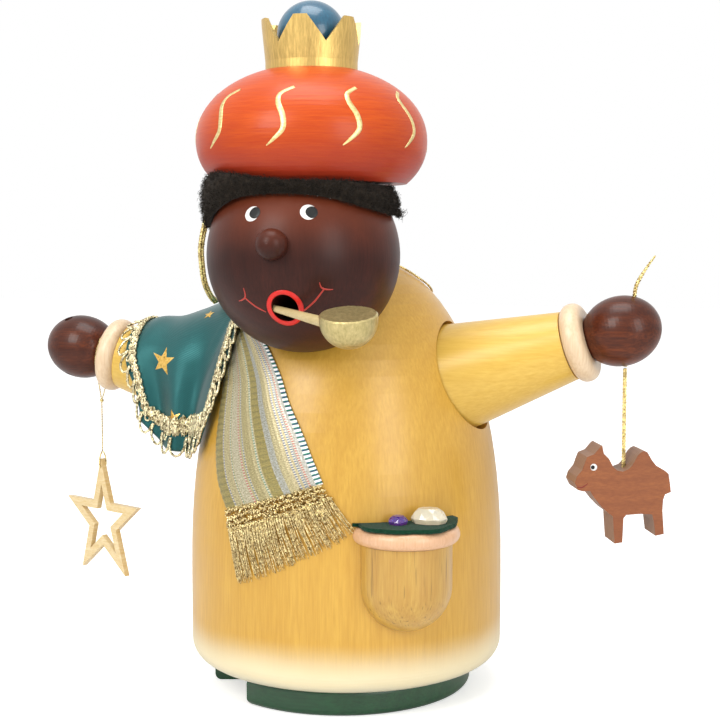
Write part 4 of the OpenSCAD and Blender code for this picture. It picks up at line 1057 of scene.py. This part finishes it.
# stitches that show along the hem of the plush
bag = Bag()
for lo, hi, gap in ((-58, -36, 0.9), (12, 40, 0.8)):
    a = lo
    while a < hi:
        z = hair_low(a) + 0.4 + 0.25 * sin(a)
        p = on_head(a, z - 0.7, 1.2)
        q = on_head(a + 0.9, z - 0.7 + 0.3 * sin(a * 3), 1.2)
        tube(bag, [p, p.lerp(q, 0.5) + Vector((0, -0.15, 0)), q], 0.13, 5)
        a += 1.5 * gap
bag.make("plush_hem_stitches", white_thread, "plush")


# ---- painted lines and eyes

def ribbon(bag, surface, pts, widths, n, lift):
    """A brush stroke on a surface given by direction and height."""
    path = smooth([(a, z, w) for (a, z), w in zip(pts, widths)], n)
    rows = []
    for i, p in enumerate(path):
        q0, q1 = path[max(i - 1, 0)], path[min(i + 1, len(path) - 1)]
        c = surface(p.x, p.y, 0)
        along_it = (surface(q1.x, q1.y, 0) - surface(q0.x, q0.y, 0)).normalized()
        up = (surface(p.x, p.y, 1) - c).normalized()
        s = along_it.cross(up).normalized() * p.z / 2
        rows.append([c - s - up * 0.08, c - s * 0.8 + up * lift, c + up * (lift + 0.02),
                     c + s * 0.8 + up * lift, c + s - up * 0.08, c - up * 0.15])
    k, m = 6, len(rows)
    ends = [tuple(range(k)), tuple((m - 1) * k + j for j in range(k - 1, -1, -1))]
    bag.add(flatten(rows), skin(m, k) + ends)


S_STROKE = [(7.0, 227.8), (0.4, 225.6), (-0.2, 222.6), (3.0, 217.8), (3.4, 213.2), (-1.2, 209.6),
            (-4.6, 207.6)]
S_WIDTH = [1.5, 1.7, 2.0, 2.2, 2.0, 1.3, 0.4]
bag = Bag()
for k in range(10):
    base = 3.0 + 36 * k
    ribbon(bag, on_turban, [(base + a, z) for a, z in S_STROKE], S_WIDTH, 6, 0.08)
bag.make("turban_strokes", gold_line, "gold_paint")


def dome(bag, centre, r, height, sag=0.0):
    """Paint drop on the head ball: a low dome round a direction."""
    d = (centre - HEAD).normalized()
    a = Vector((0, 0, 1)).cross(d).normalized()
    b = d.cross(a)
    rings, seg = 5, 36
    verts = [HEAD + d * (HEAD_R + height + sag)]
    for i in range(1, rings + 1):
        t = i / rings
        h = height * (1 - t ** 4) - (0.1 if i == rings else 0) + sag
        for k in range(seg):
            turn = 2 * pi * k / seg
            v = d * HEAD_R + (a * cos(turn) + b * sin(turn)) * (r * t)
            verts.append(HEAD + v.normalized() * (HEAD_R + h))
    last = 1 + (rings - 1) * seg
    bag.add(verts, fan(seg, rings) + [tuple(last + k for k in range(seg))])


white, black = Bag(), Bag()
for az, z, pz in ((-13.3, 184.7, 184.9), (23.3, 185.2, 185.1)):
    dome(white, on_head(az, z), 3.1, 0.22)
    dome(black, on_head(az + 1.75, pz), 2.25, 0.10, 0.22)
white.make("eye_whites", white_paint, "wood_brown")
black.make("eye_pupils", black_paint, "wood_brown")

bag = Bag()
mouth_az, mouth_z = 3.0, 152.5
fwd = Vector((sind(mouth_az), -cosd(mouth_az), 0))
side = Vector((cosd(mouth_az), sind(mouth_az), 0))
seg = 64
rows = []
for k in range(seg):
    a = 360 * k / seg
    row = []
    for r, h in ((4.72, -0.3), (4.72, 0.10), (5.3, 0.20), (6.0 + 0.12 * sind(3 * a), 0.16),
                 (6.55 + 0.15 * sind(2 * a + 40), -0.06), (5.6, -0.5)):
        q = side * r * cosd(a) + Vector((0, 0, mouth_z + r * sind(a)))
        # run forward along the bore to the head's surface
        rel = q - HEAD
        bb = rel.dot(fwd)
        cc = rel.dot(rel) - (HEAD_R + h) ** 2
        row.append(q + fwd * (-bb + sqrt(max(bb * bb - cc, 0))))
    rows.append(row)
bag.add(flatten(rows), skin(seg, 6, wrap=True))
bag.make("mouth_ring", red_paint, "wood_brown")

bag = Bag()
for pts, widths in (
        ([(-6.0, 151.0), (-13.0, 153.0), (-19.2, 155.9)], [0.5, 0.75, 0.6]),
        ([(-18.1, 159.3), (-18.0, 157.2), (-19.2, 155.8), (-22.2, 155.0), (-25.3, 154.6)],
         [0.25, 0.6, 0.7, 0.6, 0.3]),
        ([(17.5, 150.6), (22.0, 152.3), (27.2, 155.0), (32.4, 159.1)], [0.5, 0.7, 0.75, 0.6]),
        ([(29.4, 161.4), (30.4, 159.8), (32.4, 159.1), (34.7, 158.9), (37.8, 158.9)],
         [0.25, 0.6, 0.7, 0.6, 0.25])):
    ribbon(bag, on_head, pts, widths, 8, 0.08)
bag.make("smile_lines", smile_paint, "wood_brown")


# ---- cut stones and felt

POCKET_AZ, POCKET_OUT = 39.3, 60.2
FELT_Z, FELT_T = 73.5, 1.4


def pocket(side_mm, out, z):
    """Point from distances aside of and out from the pocket's axis."""
    c, s = cosd(POCKET_AZ), sind(POCKET_AZ)
    y = -POCKET_OUT - out
    return Vector((side_mm * c - y * s, side_mm * s + y * c, z))


def brilliant(bag, side_mm, out, turn, r, h, stretch=1.0):
    """Crown of a cut stone: table, star, main and girdle facets over a short girdle."""
    k = 8
    z0 = FELT_Z + FELT_T + 0.05
    rows = [(0.55, h, 0), (0.80, h * 0.74, 0.5), (0.985, h * 0.34, 0), (0.985, h * 0.34, 0.5),
            (0.99, h * 0.26, 0), (0.90, 0.0, 0)]

    def at(q, z, shift):
        ring = []
        for i in range(k):
            a = radians(360 * (i + shift) / k)
            x, y = q * r * cos(a) * stretch, q * r * sin(a)
            x, y = x * cosd(turn) - y * sind(turn), x * sind(turn) + y * cosd(turn)
            ring.append(pocket(side_mm + x, out - y, z0 + z))
        return ring
    f = [tuple(range(k))]
    for i in range(k):
        j = (i + 1) % k
        f.append((i, k + i, j))
        f.append((i, k + (i - 1) % k, 2 * k + i, k + i))
        f.append((k + i, 2 * k + i, 3 * k + i))
        f.append((k + i, 3 * k + i, 2 * k + j))
        f.append((2 * k + i, 4 * k + i, 4 * k + j, 2 * k + j, 3 * k + i))
        f.append((4 * k + i, 5 * k + i, 5 * k + j, 4 * k + j))
    f.append(tuple(5 * k + i for i in reversed(range(k))))
    bag.add(flatten(at(*row) for row in rows), f)


bag = Bag()
brilliant(bag, -5.2, 5.4, 0, 3.6, 2.95)
bag.make("purple_stone", stone("purple_glass", (0.20, 0.08, 0.62)), "stone_purple", ["gem_purple"],
         smooth=False)
bag = Bag()
brilliant(bag, 5.9, 7.5, -36, 5.1, 5.25, 1.33)
bag.make("clear_stone", stone("champagne_glass", (1.0, 0.93, 0.74), 1.65, 0.45), "stone_clear",
         ["gem_clear"], smooth=False)


def felt_edge(a):
    return 18.9 + 0.7 * sind(5 * a + 20) + 0.4 * sind(9 * a) + 0.12 * sind(31 * a)


felt_rb = body_rad(FELT_Z) + 0.35


def felt_inner(x):
    """Distance out from the pocket's axis at which the body starts."""
    return sqrt(felt_rb ** 2 - x * x) - POCKET_OUT


end = 100.0
while felt_edge(end) * cosd(end) < felt_inner(felt_edge(end) * sind(end)) + 0.8:
    end -= 0.5
nu, nv = 91, 13
top, low = [], []
for i in range(nu):
    a = end * (2 * i / (nu - 1) - 1)
    ex, ey = felt_edge(a) * sind(a), felt_edge(a) * cosd(a)
    ix = felt_edge(end) * sind(end) * (2 * i / (nu - 1) - 1)
    for j in range(nv):
        t = j / (nv - 1)
        p = pocket(ix + (ex - ix) * t, felt_inner(ix) + (ey - felt_inner(ix)) * t, 0)
        lift = 0.10 * max(0, t - 0.6) * (1 + sind(7 * a))
        top.append((p.x, p.y, FELT_Z + FELT_T - 0.08 + lift))
        low.append((p.x, p.y, FELT_Z + 0.02))
bag = Bag()
closed_sheet(bag, top, low, nu, nv)
felt_piece = bag.make("pocket_felt_cloth", mat_felt, "felt_green", ["pocket_felt"])


# ---- camel's face

CAMEL = Vector((110.5, -6, 64.2))


def on_camel(x, z, off=0.0):
    """Point on the near side of the camel: x along it, z above its feet."""
    c, s = cosd(CAMEL_TURN), sind(CAMEL_TURN)
    x -= 0.8
    y = -6.5 - off
    return Vector((CAMEL.x + x * c - y * s, CAMEL.y + x * s + y * c, CAMEL.z + z))


def disc(bag, x, z, r, h):
    seg = 28
    verts = [on_camel(x, z, h)]
    for radius, height in ((r, h * 0.8), (r * 1.02, -0.1)):
        verts += [on_camel(x + radius * cosd(360 * k / seg), z + radius * sind(360 * k / seg), height)
                  for k in range(seg)]
    bag.add(verts, fan(seg, 2) + [tuple(1 + seg + k for k in reversed(range(seg)))])


white, black, smile = Bag(), Bag(), Bag()
disc(white, -12.3, 28.6, 1.25, 0.12)
disc(black, -12.7, 28.6, 0.75, 0.2)
ribbon(smile, on_camel, [(-18.4, 21.4), (-16.6, 21.2), (-14.4, 22.6)],
       [0.4, 0.55, 0.3], 6, 0.06)
white.make("camel_eye_white", white_paint, "wood_camel", body="camel")
black.make("camel_eye_pupil", black_paint, "wood_camel", body="camel")
smile.make("camel_smile", dark_red_paint, "wood_camel", body="camel")


# ---- floor

floor_mat = Mat("floor", rough=0.6)
floor_mat.color((0.86, 0.86, 0.86))
glow = floor_mat.node("Emission")
glow.inputs["Color"].default_value = (1, 1, 1, 1)
path = floor_mat.node("LightPath")
floor_mat.put(glow.inputs["Strength"], floor_mat.math("MULTIPLY", path.outputs["Is Camera Ray"], 0.50))
total = floor_mat.node("AddShader")
floor_mat.t.links.new(floor_mat.p.outputs[0], total.inputs[0])
floor_mat.t.links.new(glow.outputs[0], total.inputs[1])
floor_mat.t.links.new(total.outputs[0], floor_mat.out.inputs["Surface"])
me = bpy.data.meshes.new("floor")
me.from_pydata([(-3, -3, 0), (3, -3, 0), (3, 3, 0), (-3, 3, 0)], [], [(0, 1, 2, 3)])
me.materials.append(floor_mat.m)
floor = add_object("floor", me)

bpy.context.view_layer.update()
